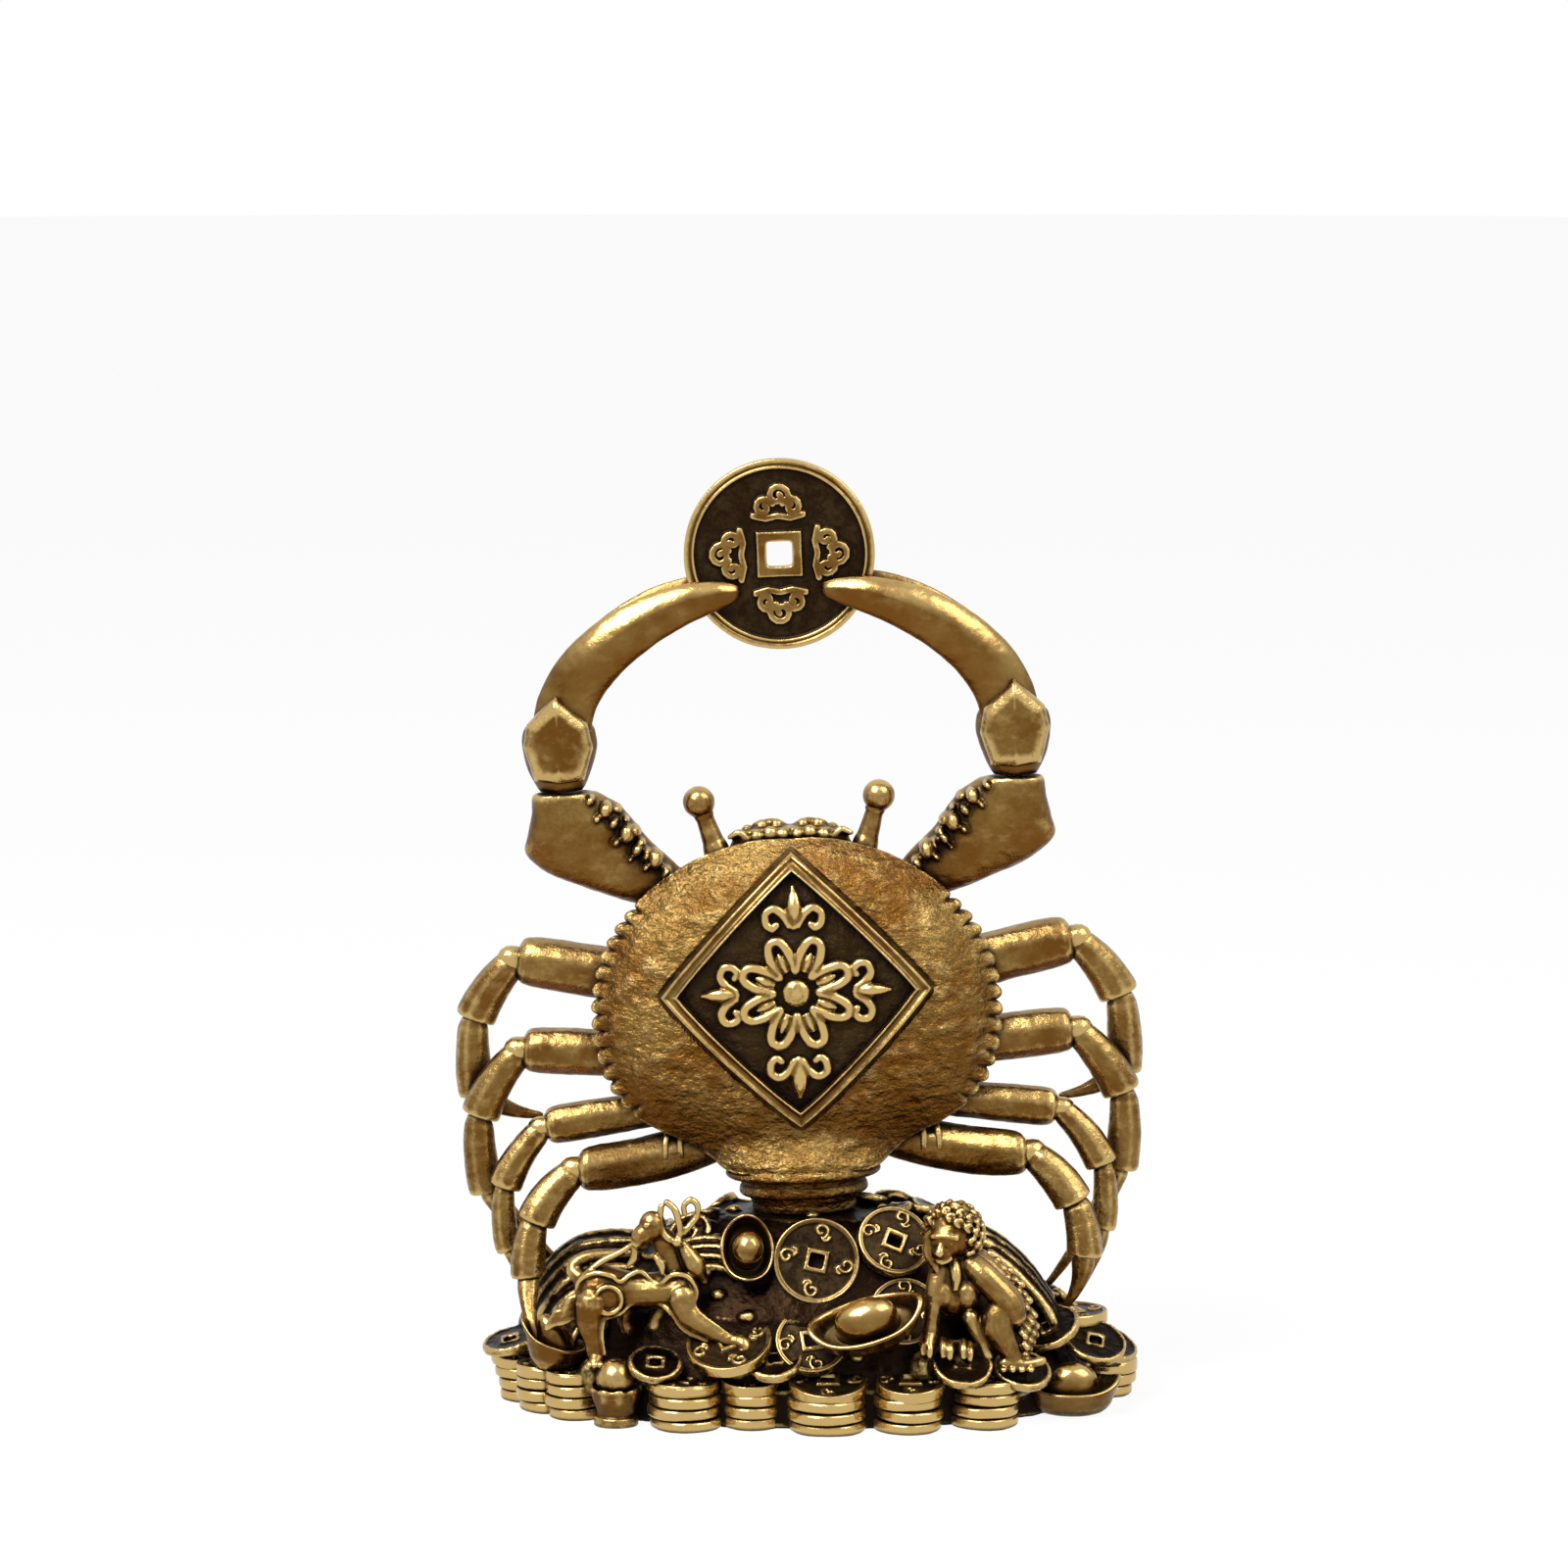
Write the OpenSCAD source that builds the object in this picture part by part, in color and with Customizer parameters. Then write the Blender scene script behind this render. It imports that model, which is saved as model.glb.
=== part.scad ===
// Brass crab standing on a heap of coins and holding a square-holed coin overhead

/* [Heap] */
// Half width of the heap, side to side
heap_half_w = 34.9; // [34:0.1:36]
// Half depth of the heap, front to back
heap_half_d = 20.5; // [20:0.1:22]
// Height of the heap's flat top, where the foot stands
heap_top = 20; // [19:0.1:21]
// Height of the mound at its rim, behind the coin stacks
mound_rim = 3.6; // [3.2:0.1:4]
// How full the mound's dome is: 2 is a parabola and more is fuller
mound_fullness = 2.3; // [2.1:0.1:2.5]
// How far the mound's edge stays inside the outer edge of the stacks
rim_inset = 3.3; // [3.2:0.05:3.5]
// Centre of the heap, right of the middle of the whole object
heap_shift = 1.9; // [1.6:0.1:2.2]
// Distance from the heap's centre to the crab's foot, to the left
foot_shift = 1.3; // [1:0.1:1.6]

/* [Coins of the heap] */
// Thickness of one coin in the stacks
stack_coin_t = 1.25; // [1.1:0.05:1.35]
// Depth of the groove between two stacked coins
stack_groove = 0.35; // [0.2:0.05:0.5]
// Radius of the loose coins on the slope
loose_coin_r = 4.4; // [4:0.1:4.6]
// Thickness of the loose coins
loose_coin_t = 1.3; // [1.1:0.05:1.5]
// Width of the square hole in a loose coin
loose_hole = 1.6; // [1.2:0.1:2]

/* [Crab shell] */
// Half width of the shell, side to side
shell_half_w = 21.5; // [21:0.1:22]
// Height of the shell's centre over the foot plane
shell_mid = 24.2; // [24:0.1:25]
// Shell centre to its top edge
shell_up = 15.7; // [15.2:0.1:16.2]
// Shell centre to its bottom edge
shell_down = 17.4; // [17:0.1:17.8]
// Rise of the shell's dome in front of its edge
dome_rise = 4.6; // [4:0.1:5.2]
// Thickness of the shell at its edge
edge_t = 1; // [0.8:0.1:1.3]
// Depth of the scallops along the side edges
scallop_depth = 0.8; // [0.5:0.1:1]
// Thickness of the belly behind the shell
belly_t = 5.6; // [5:0.1:6.2]

/* [Diamond] */
// Half width of the diamond frame
diamond_half_w = 14.3; // [13.5:0.1:14.6]
// Half height of the diamond frame
diamond_half_h = 14.6; // [14:0.1:14.9]
// Width of the frame's double band
band_w = 1.3; // [1:0.1:1.5]
// Height of the band over the shell
band_rise = 0.6; // [0.4:0.1:0.8]
// Depth of the sunk field inside the frame
field_depth = 0.5; // [0.3:0.1:0.6]
// Radius of the flower in the middle of the field
flower_r = 7; // [6:0.1:7.5]
// Height of the flower over the field
flower_rise = 0.8; // [0.5:0.1:1]

/* [Foot and screw] */
// Half width of the foot's top ring
foot_half_w = 8.25; // [7.8:0.05:8.5]
// Half depth of the foot's top ring
foot_half_d = 5.6; // [5.2:0.1:5.8]
// Height of the ringed foot
foot_h = 5; // [4.8:0.1:5.4]
// Radius of the spigot that stands in the heap
spigot_r = 3.4; // [3:0.1:3.8]
// Length of the spigot
spigot_len = 6; // [5:0.1:7]
// Radius of the foot screw's thread
screw_r = 1.5; // [1.3:0.05:1.7]
// Radius of the foot screw's head
screw_head_r = 2.75; // [2.5:0.05:3]
// Height of the foot screw's head
screw_head_h = 2; // [1.6:0.1:2.2]
// Lean of the crab to the left, in degrees
lean = 2.2; // [1.8:0.1:2.6]

/* [Claws] */
// Wrist's distance from the crab's middle
wrist_u = 23.85; // [23.6:0.05:24.1]
// Height of the top of the claw arm over the foot plane
arm_top = 45.6; // [45.4:0.1:45.8]
// Height of the wrist piece
wrist_h = 7.2; // [7:0.1:7.4]
// Half depth of the wrist
wrist_half_d = 3; // [2.8:0.1:3.2]
// Half width of a claw finger at its root
finger_hw = 3.1; // [2.9:0.05:3.2]
// Gap between a finger's tip and the crab's middle
finger_tip_u = 4.2; // [4:0.1:4.8]

/* [Held coin] */
// Radius of the held coin
coin_r = 10; // [9.7:0.05:10.2]
// Thickness of the held coin at its rim
coin_t = 2; // [1.8:0.1:2.2]
// Width of the held coin's rim
coin_rim = 1.2; // [1:0.1:1.4]
// Depth of the coin's sunk faces
coin_sink = 0.35; // [0.2:0.05:0.5]
// Width of the coin's square hole
coin_hole = 3.3; // [3:0.1:3.6]
// Height of the coin's centre over the foot plane
coin_mid = 70; // [69.8:0.1:70.2]

/* [Eyes and mouth] */
// Radius of an eye ball
eye_r = 1.7; // [1.5:0.05:1.9]
// Radius of an eye stalk
stalk_r = 1; // [0.9:0.05:1.1]
// Half width of the mouth plate
mouth_half_w = 6.2; // [5.8:0.1:6.4]
// Thickness of the mouth plate
mouth_t = 3; // [2.6:0.1:3.4]

/* [Fits] */
// Gap between a piece and the seat cut for it
seat_gap = 0.15; // [0.1:0.05:0.2]
// Gap between two leg or claw pieces at their seam
seam = 0.2; // [0.15:0.05:0.25]
// Radius of the pins that join the limb pieces
pin_r = 0.8; // [0.7:0.05:0.85]
// Length of the pins that join the limb pieces
pin_len = 1.6; // [1.4:0.1:1.8]

/* [Hidden] */
$fn = 48;
sides = ["left", "right"];
ring_points = 12;
tiny = 0.01;

// Walking legs from the top pair down: hip under the shell's middle, then lengths and angles
hip_drop = [-0.8, 7.3, 12.9, 16.2];
hip_inset = 4.5;
merus_len = [12.7, 12.8, 13.7, 16];
merus_angle = [11.5, 4.5, -6.7, -9];
merus_sag = [0.2, 0, 0, -1.6];
carpus_len = [8.2, 8.8, 7.9, 7.1];
carpus_angle = [-53, -55, -54, -48];
shin_len = [8.6, 8.5, 6.8, 5.7];
shin_angle = [-89, -93, -92.5, -81];
root_hw = [3, 2.6, 1.95, 2.7];
knee_hw = [2.45, 2.3, 2, 2.3];
carpus_hw = [1.95, 1.9, 1.6, 1.9];
shin_hw = [1.9, 1.8, 1.35, 1.8];
leg_depths = [
    [2.7, 3.2, 4.6, 6.6],
    [2.7, 2.7, 3.4, 4.6],
    [2.4, 1.6, 1.4, 0.9],
    [3.3, -1.2, -2.6, -3.6]
];

foot_at = [heap_shift - foot_shift, 0, heap_top];

// Size of the heap that its places are drawn at; they spread and close up with the heap
drawn_half_w = 34.9;
drawn_half_d = 20.5;
spread_w = heap_half_w / drawn_half_w;
spread_d = heap_half_d / drawn_half_d;
function spread(p) = [heap_shift + (p[0] - heap_shift) * spread_w, p[1] * spread_d, p[2]];
mound_rx = heap_half_w - rim_inset;
mound_ry = heap_half_d - rim_inset;
mound_peak = heap_top + 1.4;

function lerp(a, b, t) = a + (b - a) * t;
function soft_step(t) = let(k = min(max(t, 0), 1)) k * k * (3 - 2 * k);
function unit(p) = p / norm(p);
function polar(a, r) = [r * cos(a), r * sin(a)];
function power(x, p) = sign(x) * pow(abs(x), p);
function bez2(a, b, c, t) = lerp(lerp(a, b, t), lerp(b, c, t), t);
function bez3(a, b, c, d, t) = lerp(bez2(a, b, c, t), bez2(b, c, d, t), t);
function side_sign(side) = side == "left" ? -1 : 1;

// Height of the mound under a point
function heap_rho(x, y) = norm([(x - heap_shift) / mound_rx, y / mound_ry]);
function mound_z(x, y) = let(rho = min(heap_rho(x, y), 1))
    min(heap_top, mound_rim + (mound_peak - mound_rim) * (1 - pow(rho, mound_fullness)));

// From the object's frame to the crab's own frame, which leans with the crab
function crab_point(p) = let(d = p - foot_at)
    [d[0] * cos(lean) + d[2] * sin(lean), d[1], -d[0] * sin(lean) + d[2] * cos(lean)];

module place_crab() {
    translate(foot_at)
        rotate([0, -lean, 0])
            children();
}

// Closed skin over rings that have the same number of points
module skin(rings) {
    n = len(rings[0]);
    m = len(rings);
    walls = [
        for (j = [0 : m - 2], i = [0 : n - 1])
            let(a = j * n + i, b = j * n + (i + 1) % n)
                each [[a, b, b + n], [a, b + n, a + n]]
    ];
    low_cap = [for (i = [n - 1 : -1 : 0]) i];
    top_cap = [for (i = [0 : n - 1]) (m - 1) * n + i];
    polyhedron([for (r = rings) each r], concat(walls, [low_cap, top_cap]));
}

function back_to_front(rings) = [for (k = [len(rings) - 1 : -1 : 0]) rings[k]];

// Ring across a limb between its two edge points, with a depth centre and half depth
function limb_ring(s, p = 0.8) = [
    for (i = [0 : ring_points - 1])
        let(
            c = power(cos(360 * i / ring_points), p),
            d = power(sin(360 * i / ring_points), p),
            mid = (s[0] + s[1]) / 2 + (s[0] - s[1]) / 2 * c
        )
            [mid[0], s[2] + s[3] * d, mid[1]]
];
function station(p, dir, hw, v, d) = let(n = unit([-dir[1], dir[0]])) [p + n * hw, p - n * hw, v, d];
module limb(stations) {
    skin([for (s = stations) limb_ring(s)]);
}

// Stations along a curved limb segment
function segment(a, b, c, v0, v1, hws, ts) = [
    for (i = [0 : len(ts) - 1])
        let(
            t = ts[i],
            dir = lerp(b - a, c - b, t)
        )
            station(bez2(a, b, c, t), dir, hws[i], lerp(v0, v1, t), hws[i] * 0.82)
];
function bulged(a, c, bulge) = let(d = unit(c - a)) (a + c) / 2 + [-d[1], d[0]] * bulge;

// Peg or bore along a limb, from a point in a direction of the crab's plane
pin_bore_r = pin_r + seat_gap / 3;
module peg(p, v, dir, r, length) {
    translate([p[0], v, p[1]])
        rotate([0, 90 - atan2(dir[1], dir[0]), 0])
            cylinder(r = r, h = length);
}

// Outline of the shell
function shell_r(a) = let(up = sin(a) >= 0, p = up ? 2 : 3, b = up ? shell_up : shell_down)
    1 / pow(pow(abs(cos(a)) / shell_half_w, p) + pow(abs(sin(a)) / b, p), 1 / p);
function shell_u(drop) = let(p = drop > 0 ? 3 : 2, b = drop > 0 ? shell_down : shell_up)
    shell_half_w * pow(1 - pow(abs(drop) / b, p), 1 / p);
function diamond_r(a) = 1 / (abs(cos(a)) / diamond_half_w + abs(sin(a)) / diamond_half_h);
function dome_v(a, r) = -edge_t - dome_rise * (1 - pow(min(r / shell_r(a), 1), 4));

// Scalloped stretches of the edge, as angles round the shell's centre
scallops = 12;
scallop_from = -38;
scallop_to = 32;
scallop_points = 4;
side_steps = scallops * scallop_points;
side_angles = [
    for (i = [0 : side_steps - 1]) lerp(scallop_from, scallop_to, i / side_steps)
];
top_steps = 13;
low_steps = 11;
edge_angles = concat(
    side_angles,
    [for (i = [0 : top_steps - 1]) lerp(scallop_to, 180 - scallop_to, i / top_steps)],
    [for (i = [0 : side_steps - 1]) lerp(180 - scallop_to, 180 - scallop_from, i / side_steps)],
    [for (i = [0 : low_steps - 1]) lerp(180 - scallop_from, 360 + scallop_from, i / low_steps)]
);
function scallop(i) = let(
    left_start = side_steps + top_steps,
    on_right = i < side_steps,
    on_left = i >= left_start && i < left_start + side_steps,
    k = on_right ? i : i - left_start
)
    on_right || on_left
        ? scallop_depth * (1 - sqrt(abs(sin(180 * k / scallop_points))))
        : 0;

// Point on the shell's face: angle number, radius and how far the point stands over the dome
function shell_point(i, r, over) = let(a = edge_angles[i])
    [r * cos(a), dome_v(a, r) - over, shell_mid + r * sin(a)];
edge_count = len(edge_angles);
function shell_ring(r_of, over) = [for (i = [0 : edge_count - 1]) shell_point(i, r_of(i), over)];

module carapace() {
    inner = function(i) (diamond_r(edge_angles[i]) - band_w) * 0.5;
    band_in = function(i) diamond_r(edge_angles[i]) - band_w - seat_gap;
    band_out = function(i) diamond_r(edge_angles[i]) + seat_gap;
    between = function(k) function(i) lerp(diamond_r(edge_angles[i]) + seat_gap, shell_r(edge_angles[i]), k);
    rim = function(i) shell_r(edge_angles[i]) - scallop(i);
    flat = function(k) [
        for (i = [0 : edge_count - 1])
            let(a = edge_angles[i], r = rim(i) * k)
                [r * cos(a), 0, shell_mid + r * sin(a)]
    ];
    color("goldenrod")
        place_crab()
            skin(back_to_front([
                flat(0.5),
                flat(1),
                [for (i = [0 : edge_count - 1]) let(p = flat(1)[i]) [p[0], -edge_t, p[2]]],
                shell_ring(between(0.75), 0),
                shell_ring(between(0.35), 0),
                shell_ring(band_out, 0),
                shell_ring(band_out, -field_depth),
                shell_ring(band_in, -field_depth),
                shell_ring(inner, -field_depth),
                [for (i = [0 : edge_count - 1]) shell_point(i, 0.5, -field_depth)]
            ]));
}

module plaque_frame() {
    under = seat_gap;
    at = function(k) function(i) diamond_r(edge_angles[i]) - band_w * (1 - k);
    loops = [
        shell_ring(at(0), under - field_depth),
        shell_ring(at(0.15), band_rise),
        shell_ring(at(0.5), band_rise / 2),
        shell_ring(at(0.85), band_rise),
        shell_ring(at(1), under - field_depth)
    ];
    n = edge_count;
    m = len(loops);
    faces = [
        for (j = [0 : m - 1], i = [0 : n - 1])
            let(
                next_i = (i + 1) % n,
                next_j = (j + 1) % m,
                a = j * n + i,
                b = j * n + next_i,
                c = next_j * n + next_i,
                d = next_j * n + i
            )
                each [[a, b, c], [a, c, d]]
    ];
    color("gold")
        place_crab()
            polyhedron([for (r = loops) each r], faces);
}

// Flower of eight petals round a boss, with a leaf bud towards each corner of the diamond
module plaque_flower() {
    petals = 8;
    petal_r = flower_r * 0.24;
    petal_at = flower_r * 0.62;
    bud_r = flower_r * 0.15;
    bud_at = flower_r * 1.05;
    floor_v = -edge_t - dome_rise + field_depth;
    color("gold")
        place_crab()
            translate([0, floor_v - seat_gap / 3, shell_mid])
                rotate([90, 0, 0]) {
                    cylinder(r = flower_r * 0.24, h = flower_rise * 1.3);
                    cylinder(r = petal_at, h = flower_rise * 0.4);
                    for (k = [0 : petals - 1])
                        rotate(360 * (k + 0.5) / petals)
                            translate([petal_at, 0, 0])
                                cylinder(r = petal_r, h = flower_rise);
                    for (k = [0 : 3])
                        rotate(90 * k)
                            translate([bud_at, 0, 0])
                                cylinder(r = bud_r, h = flower_rise * 0.8);
                    for (k = [0 : 3])
                        rotate(90 * k)
                            translate([petal_at * 0.9, -bud_r * 0.6, 0])
                                cube([bud_at - petal_at * 0.9, bud_r * 1.2, flower_rise * 0.4]);
                }
}

// Points of leg number i, from the hip to the end of the shin, in the crab's plane
function hip(i) = [shell_u(hip_drop[i]) - hip_inset, shell_mid - hip_drop[i]];
function knee(i) = hip(i) + polar(merus_angle[i], merus_len[i]);
function elbow(i) = knee(i) + polar(carpus_angle[i], carpus_len[i]);
function ankle(i) = elbow(i) + polar(shin_angle[i], shin_len[i]);

// Where each leg ends: the top leg behind the third knee, the others on the heap
tip_r = 0.35;
tip_reach = [0, 0.7, 0.78, 0.75];
tip_y = [0, 5.6, 1, -3.4];
function heap_tip(side, i) = let(
    x = heap_shift + side_sign(side) * tip_reach[i] * heap_half_w,
    on_ledge = norm([x - ledge_at[0], tip_y[i] - ledge_at[1]]) < ledge_r,
    z = on_ledge ? ledge_at[2] + loose_coin_t : mound_z(x, tip_y[i]),
    p = crab_point([x, tip_y[i], z + tip_r + 2 * seat_gap])
)
    [side_sign(side) * p[0], p[1], p[2]];
function bowl_tip() = let(
    z = dish_floor(left_ingot) + tip_r + 2 * seat_gap,
    p = crab_point(left_ingot_at + [-2, -0.2, z])
)
    [-p[0], p[1], p[2]];
function leg_tip(side, i) =
    i == 0 ? [knee(2)[0] + 0.4, 5.2, knee(2)[1] + 0.6]
    : i == 3 && side == "left" ? bowl_tip()
    : heap_tip(side, i);

function knee_dir(i) = knee(i) - bulged(hip(i), knee(i), merus_sag[i]);

module leg_upper(side, i) {
    ts = [0, 0.3, 0.6, 0.86, 0.93, 1];
    swell = [1, 1, 0.97, 0.93, 1.08, 1];
    bend = bulged(hip(i), knee(i), merus_sag[i]);
    hws = [for (k = [0 : len(ts) - 1]) lerp(root_hw[i], knee_hw[i], ts[k]) * swell[k]];
    dir = unit(knee_dir(i));
    color("darkgoldenrod")
        place_crab()
            mirror([side == "left" ? 1 : 0, 0, 0])
                difference() {
                    limb(segment(hip(i), bend, knee(i), leg_depths[i][0], leg_depths[i][1], hws, ts));
                    peg(knee(i) - dir * (pin_len + seam), leg_depths[i][1], dir, pin_bore_r, pin_len * 2);
                }
}

module leg_lower(side, i) {
    dir = unit(knee_dir(i));
    start = knee(i) + dir * seam;
    foot_end = leg_tip(side, i);
    tip = [foot_end[0], foot_end[2]];
    v = leg_depths[i];
    c = carpus_hw[i];
    s = shin_hw[i];
    ts = [0, 0.35, 0.7, 1];
    socket = station(start, dir, c * 0.85, v[1], c * 0.75);
    carpus_bend = bulged(start, elbow(i), 0.9);
    shin_bend = bulged(elbow(i), ankle(i), 0.6);
    carpus_hws = c * [0.8, 1.02, 1, 0.92];
    shin_hws = s * [0.92, 1.04, 1, 0.85];
    carpus = segment(start, carpus_bend, elbow(i), v[1], v[2], carpus_hws, ts);
    shin = segment(elbow(i), shin_bend, ankle(i), v[2], v[3], shin_hws, ts);
    dactyl = segment(
        ankle(i), bulged(ankle(i), tip, 0.9), tip, v[3], foot_end[1],
        [s * 0.7, s * 0.62, s * 0.4, tip_r], ts
    );
    body = concat([socket], [for (s = [carpus, shin, dactyl], k = [1 : 3]) s[k]]);
    color("darkgoldenrod")
        place_crab()
            mirror([side == "left" ? 1 : 0, 0, 0])
                union() {
                    limb(body);
                    peg(knee(i) - dir * (pin_len - seam), v[1], dir, pin_r, pin_len + 1);
                }
}

// Claw: arm, wrist and two fingers, drawn for the right side
arm_low = [11.6, 33.2];
arm_dir = [13, 12];
arm_v = 2.6;
arm_root_r = 2.9;
arm_base = [
    [[11.2, 36.2], [13.6, 31.9], 2.7, 2],
    [[12.9, 38], [16.6, 33.2], 2.6, 2.1],
    [[15.1, 40.2], [20.8, 34.8], 2, 2.4],
    [[16.8, 42.7], [25.4, 36.9], 1.2, 2.7],
    [[18.2, 44.3], [27.8, 39.4], 0.6, 2.8]
];
module claw_arm(side) {
    top = [
        [[19.3, arm_top - 1], [27.3, arm_top - 3.2], 0.3, 2.8],
        [[20.6, arm_top], [26.9, arm_top], 0, 2.5]
    ];
    color("darkgoldenrod")
        place_crab()
            mirror([side == "left" ? 1 : 0, 0, 0])
                difference() {
                    limb(concat(arm_base, top));
                    peg([wrist_u, arm_top - pin_len - seam], 0, [0, 1], pin_bore_r, pin_len * 2);
                }
}

wrist_low = arm_top + seam + 0.1;
wrist_top = wrist_low + wrist_h;
module claw_wrist(side) {
    rise = function(k) wrist_low + wrist_h * k;
    stations = [
        [[wrist_u - 2.4, rise(0)], [wrist_u + 2.5, rise(0)], 0, wrist_half_d * 0.75],
        [[wrist_u - 3.1, rise(0.25)], [wrist_u + 3.4, rise(0.33)], 0, wrist_half_d * 0.95],
        [[wrist_u - 3.9, rise(0.63)], [wrist_u + 3.9, rise(0.68)], 0, wrist_half_d],
        [[wrist_u - 3.5, rise(1)], [wrist_u + 3.4, rise(1)], 0, wrist_half_d * 0.97]
    ];
    tongue_v = front_root_v - finger_hw * front_depth - seat_gap;
    tongue_t = 1;
    tongue_low = wrist_top - 2.6;
    tongue_half = 2.6;
    color("darkgoldenrod")
        place_crab()
            mirror([side == "left" ? 1 : 0, 0, 0])
                union() {
                    difference() {
                        limb(stations);
                        for (v = [front_root_v, back_root_v])
                            finger_pin(v, -seam, seat_gap / 3);
                    }
                    peg([wrist_u, arm_top - pin_len + seam], 0, [0, 1], pin_r, pin_len + 1);
                    translate([0, tongue_v, 0])
                        rotate([90, 0, 0])
                            linear_extrude(tongue_t)
                                polygon([
                                    [wrist_u - tongue_half, tongue_low],
                                    [wrist_u + tongue_half, tongue_low],
                                    [wrist_u + tongue_half, wrist_top],
                                    [wrist_u, wrist_top + 1.8],
                                    [wrist_u - tongue_half, wrist_top]
                                ]);
                }
}

finger_pin_r = 0.6;
front_root_v = -0.85;
back_root_v = 1.95;
back_thin = 0.62;
front_depth = 0.58;
back_depth = 0.42;
back_lift = 1.1;
grip_gap = 0.2;
finger_steps = 12;
function finger_curve(lift) = [
    [wrist_u - 0.35, wrist_top + seam + 0.1],
    [wrist_u - 0.35, wrist_top + 6.3 + lift],
    [13.9, coin_mid - 4 + lift],
    [finger_tip_u, coin_mid - 3.8 + lift]
];
module finger_pin(v, drop, grow) {
    peg([wrist_u, wrist_top - pin_len + seam + drop], v, [0, 1], finger_pin_r + grow, pin_len + 1);
}
function finger_half(t) = 0.3 + (finger_hw - 0.3) * sqrt(1 - pow(t, 2.4));
function finger_stations(lift, thin, depth_k, root_v, face) = let(
    q = finger_curve(lift),
    half_coin = coin_t / 2
)
    [
        for (k = [0 : finger_steps])
            let(
                t = k / finger_steps,
                p = bez3(q[0], q[1], q[2], q[3], t),
                dir = bez2(q[1] - q[0], q[2] - q[1], q[3] - q[2], t),
                hw = finger_half(t) * thin,
                d = hw * depth_k,
                grip_v = face * (half_coin + grip_gap + d)
            )
                station(p, dir, hw, lerp(root_v, grip_v, soft_step(t * 1.6)), d)
    ];
module front_finger(side) {
    color("gold")
        place_crab()
            mirror([side == "left" ? 1 : 0, 0, 0])
                union() {
                    limb(finger_stations(0, 1, front_depth, front_root_v, -1));
                    finger_pin(front_root_v, 0, 0);
                }
}
module back_finger(side) {
    color("darkgoldenrod")
        place_crab()
            mirror([side == "left" ? 1 : 0, 0, 0])
                union() {
                    limb(finger_stations(back_lift, back_thin, back_depth, back_root_v, 1));
                    finger_pin(back_root_v, 0, 0);
                }
}

// Coin with a square hole, a raised rim and a raised border round the hole, lying flat on z = 0
module holed_coin(r, t, rim, sink, hole, border) {
    difference() {
        cylinder(r = r, h = t);
        for (z = [-tiny, t - sink])
            translate([0, 0, z])
                difference() {
                    cylinder(r = r - rim, h = sink + tiny);
                    translate([-hole / 2 - border, -hole / 2 - border, -tiny])
                        cube([hole + 2 * border, hole + 2 * border, sink + 3 * tiny]);
                }
        translate([-hole / 2, -hole / 2, -tiny])
            cube([hole, hole, t + 2 * tiny]);
    }
}

// Four cloud bosses stand on each face of the held coin
module held_coin() {
    boss_r = (coin_r - coin_rim) * 0.16;
    boss_at = (coin_r + coin_hole / 2) * 0.52;
    color("goldenrod")
        place_crab()
            translate([0, coin_t / 2, coin_mid])
                rotate([90, 0, 0])
                    union() {
                        holed_coin(coin_r, coin_t, coin_rim, coin_sink, coin_hole, 0.8);
                        for (k = [0 : 3], turn = [-1, 0, 1])
                            rotate(90 * k + turn * 16)
                                translate([boss_at, 0, coin_sink / 2])
                                    cylinder(r = boss_r * (turn == 0 ? 1.2 : 0.8), h = coin_t - coin_sink);
                    }
}

// Eye stalk with its ball, leaning outwards, set in a bore of the belly
stalk_low = [7.1, 36.2];
stalk_top = [9.5, 43.9];
stalk_v = 1.5;
module stalk_bore() {
    dir = unit(stalk_top - stalk_low);
    peg(stalk_low - dir * seat_gap, stalk_v, dir, stalk_r + seat_gap, norm(stalk_top - stalk_low));
}
module eye_stalk(side) {
    dir = stalk_top - stalk_low;
    color("darkgoldenrod")
        place_crab()
            mirror([side == "left" ? 1 : 0, 0, 0])
                union() {
                    peg(stalk_low, stalk_v, dir, stalk_r, norm(dir));
                    translate([stalk_top[0], stalk_v, stalk_top[1]])
                        sphere(r = eye_r);
                }
}

mouth_low = shell_mid + shell_up * 0.88;
mouth_top = shell_mid + shell_up + 1.1;
module mouth_block(grow) {
    arc_steps = 8;
    half = mouth_half_w + grow;
    low = mouth_low - grow;
    high = mouth_top + grow;
    shoulder = lerp(low, high, 0.55);
    translate([0, mouth_t + 0.3 + grow, 0])
        rotate([90, 0, 0])
            linear_extrude(mouth_t + 2 * grow)
                polygon(concat(
                    [[half, low]],
                    [
                        for (k = [0 : arc_steps])
                            let(a = 180 * k / arc_steps)
                                [half * power(cos(a), 0.6), lerp(shoulder, high, sin(a))]
                    ],
                    [[-half, low]]
                ));
}
module mouth_plate() {
    color("saddlebrown")
        place_crab()
            difference() {
                mouth_block(0);
                for (s = [0, 1])
                    mirror([s, 0, 0])
                        stalk_bore();
            }
}

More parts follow.
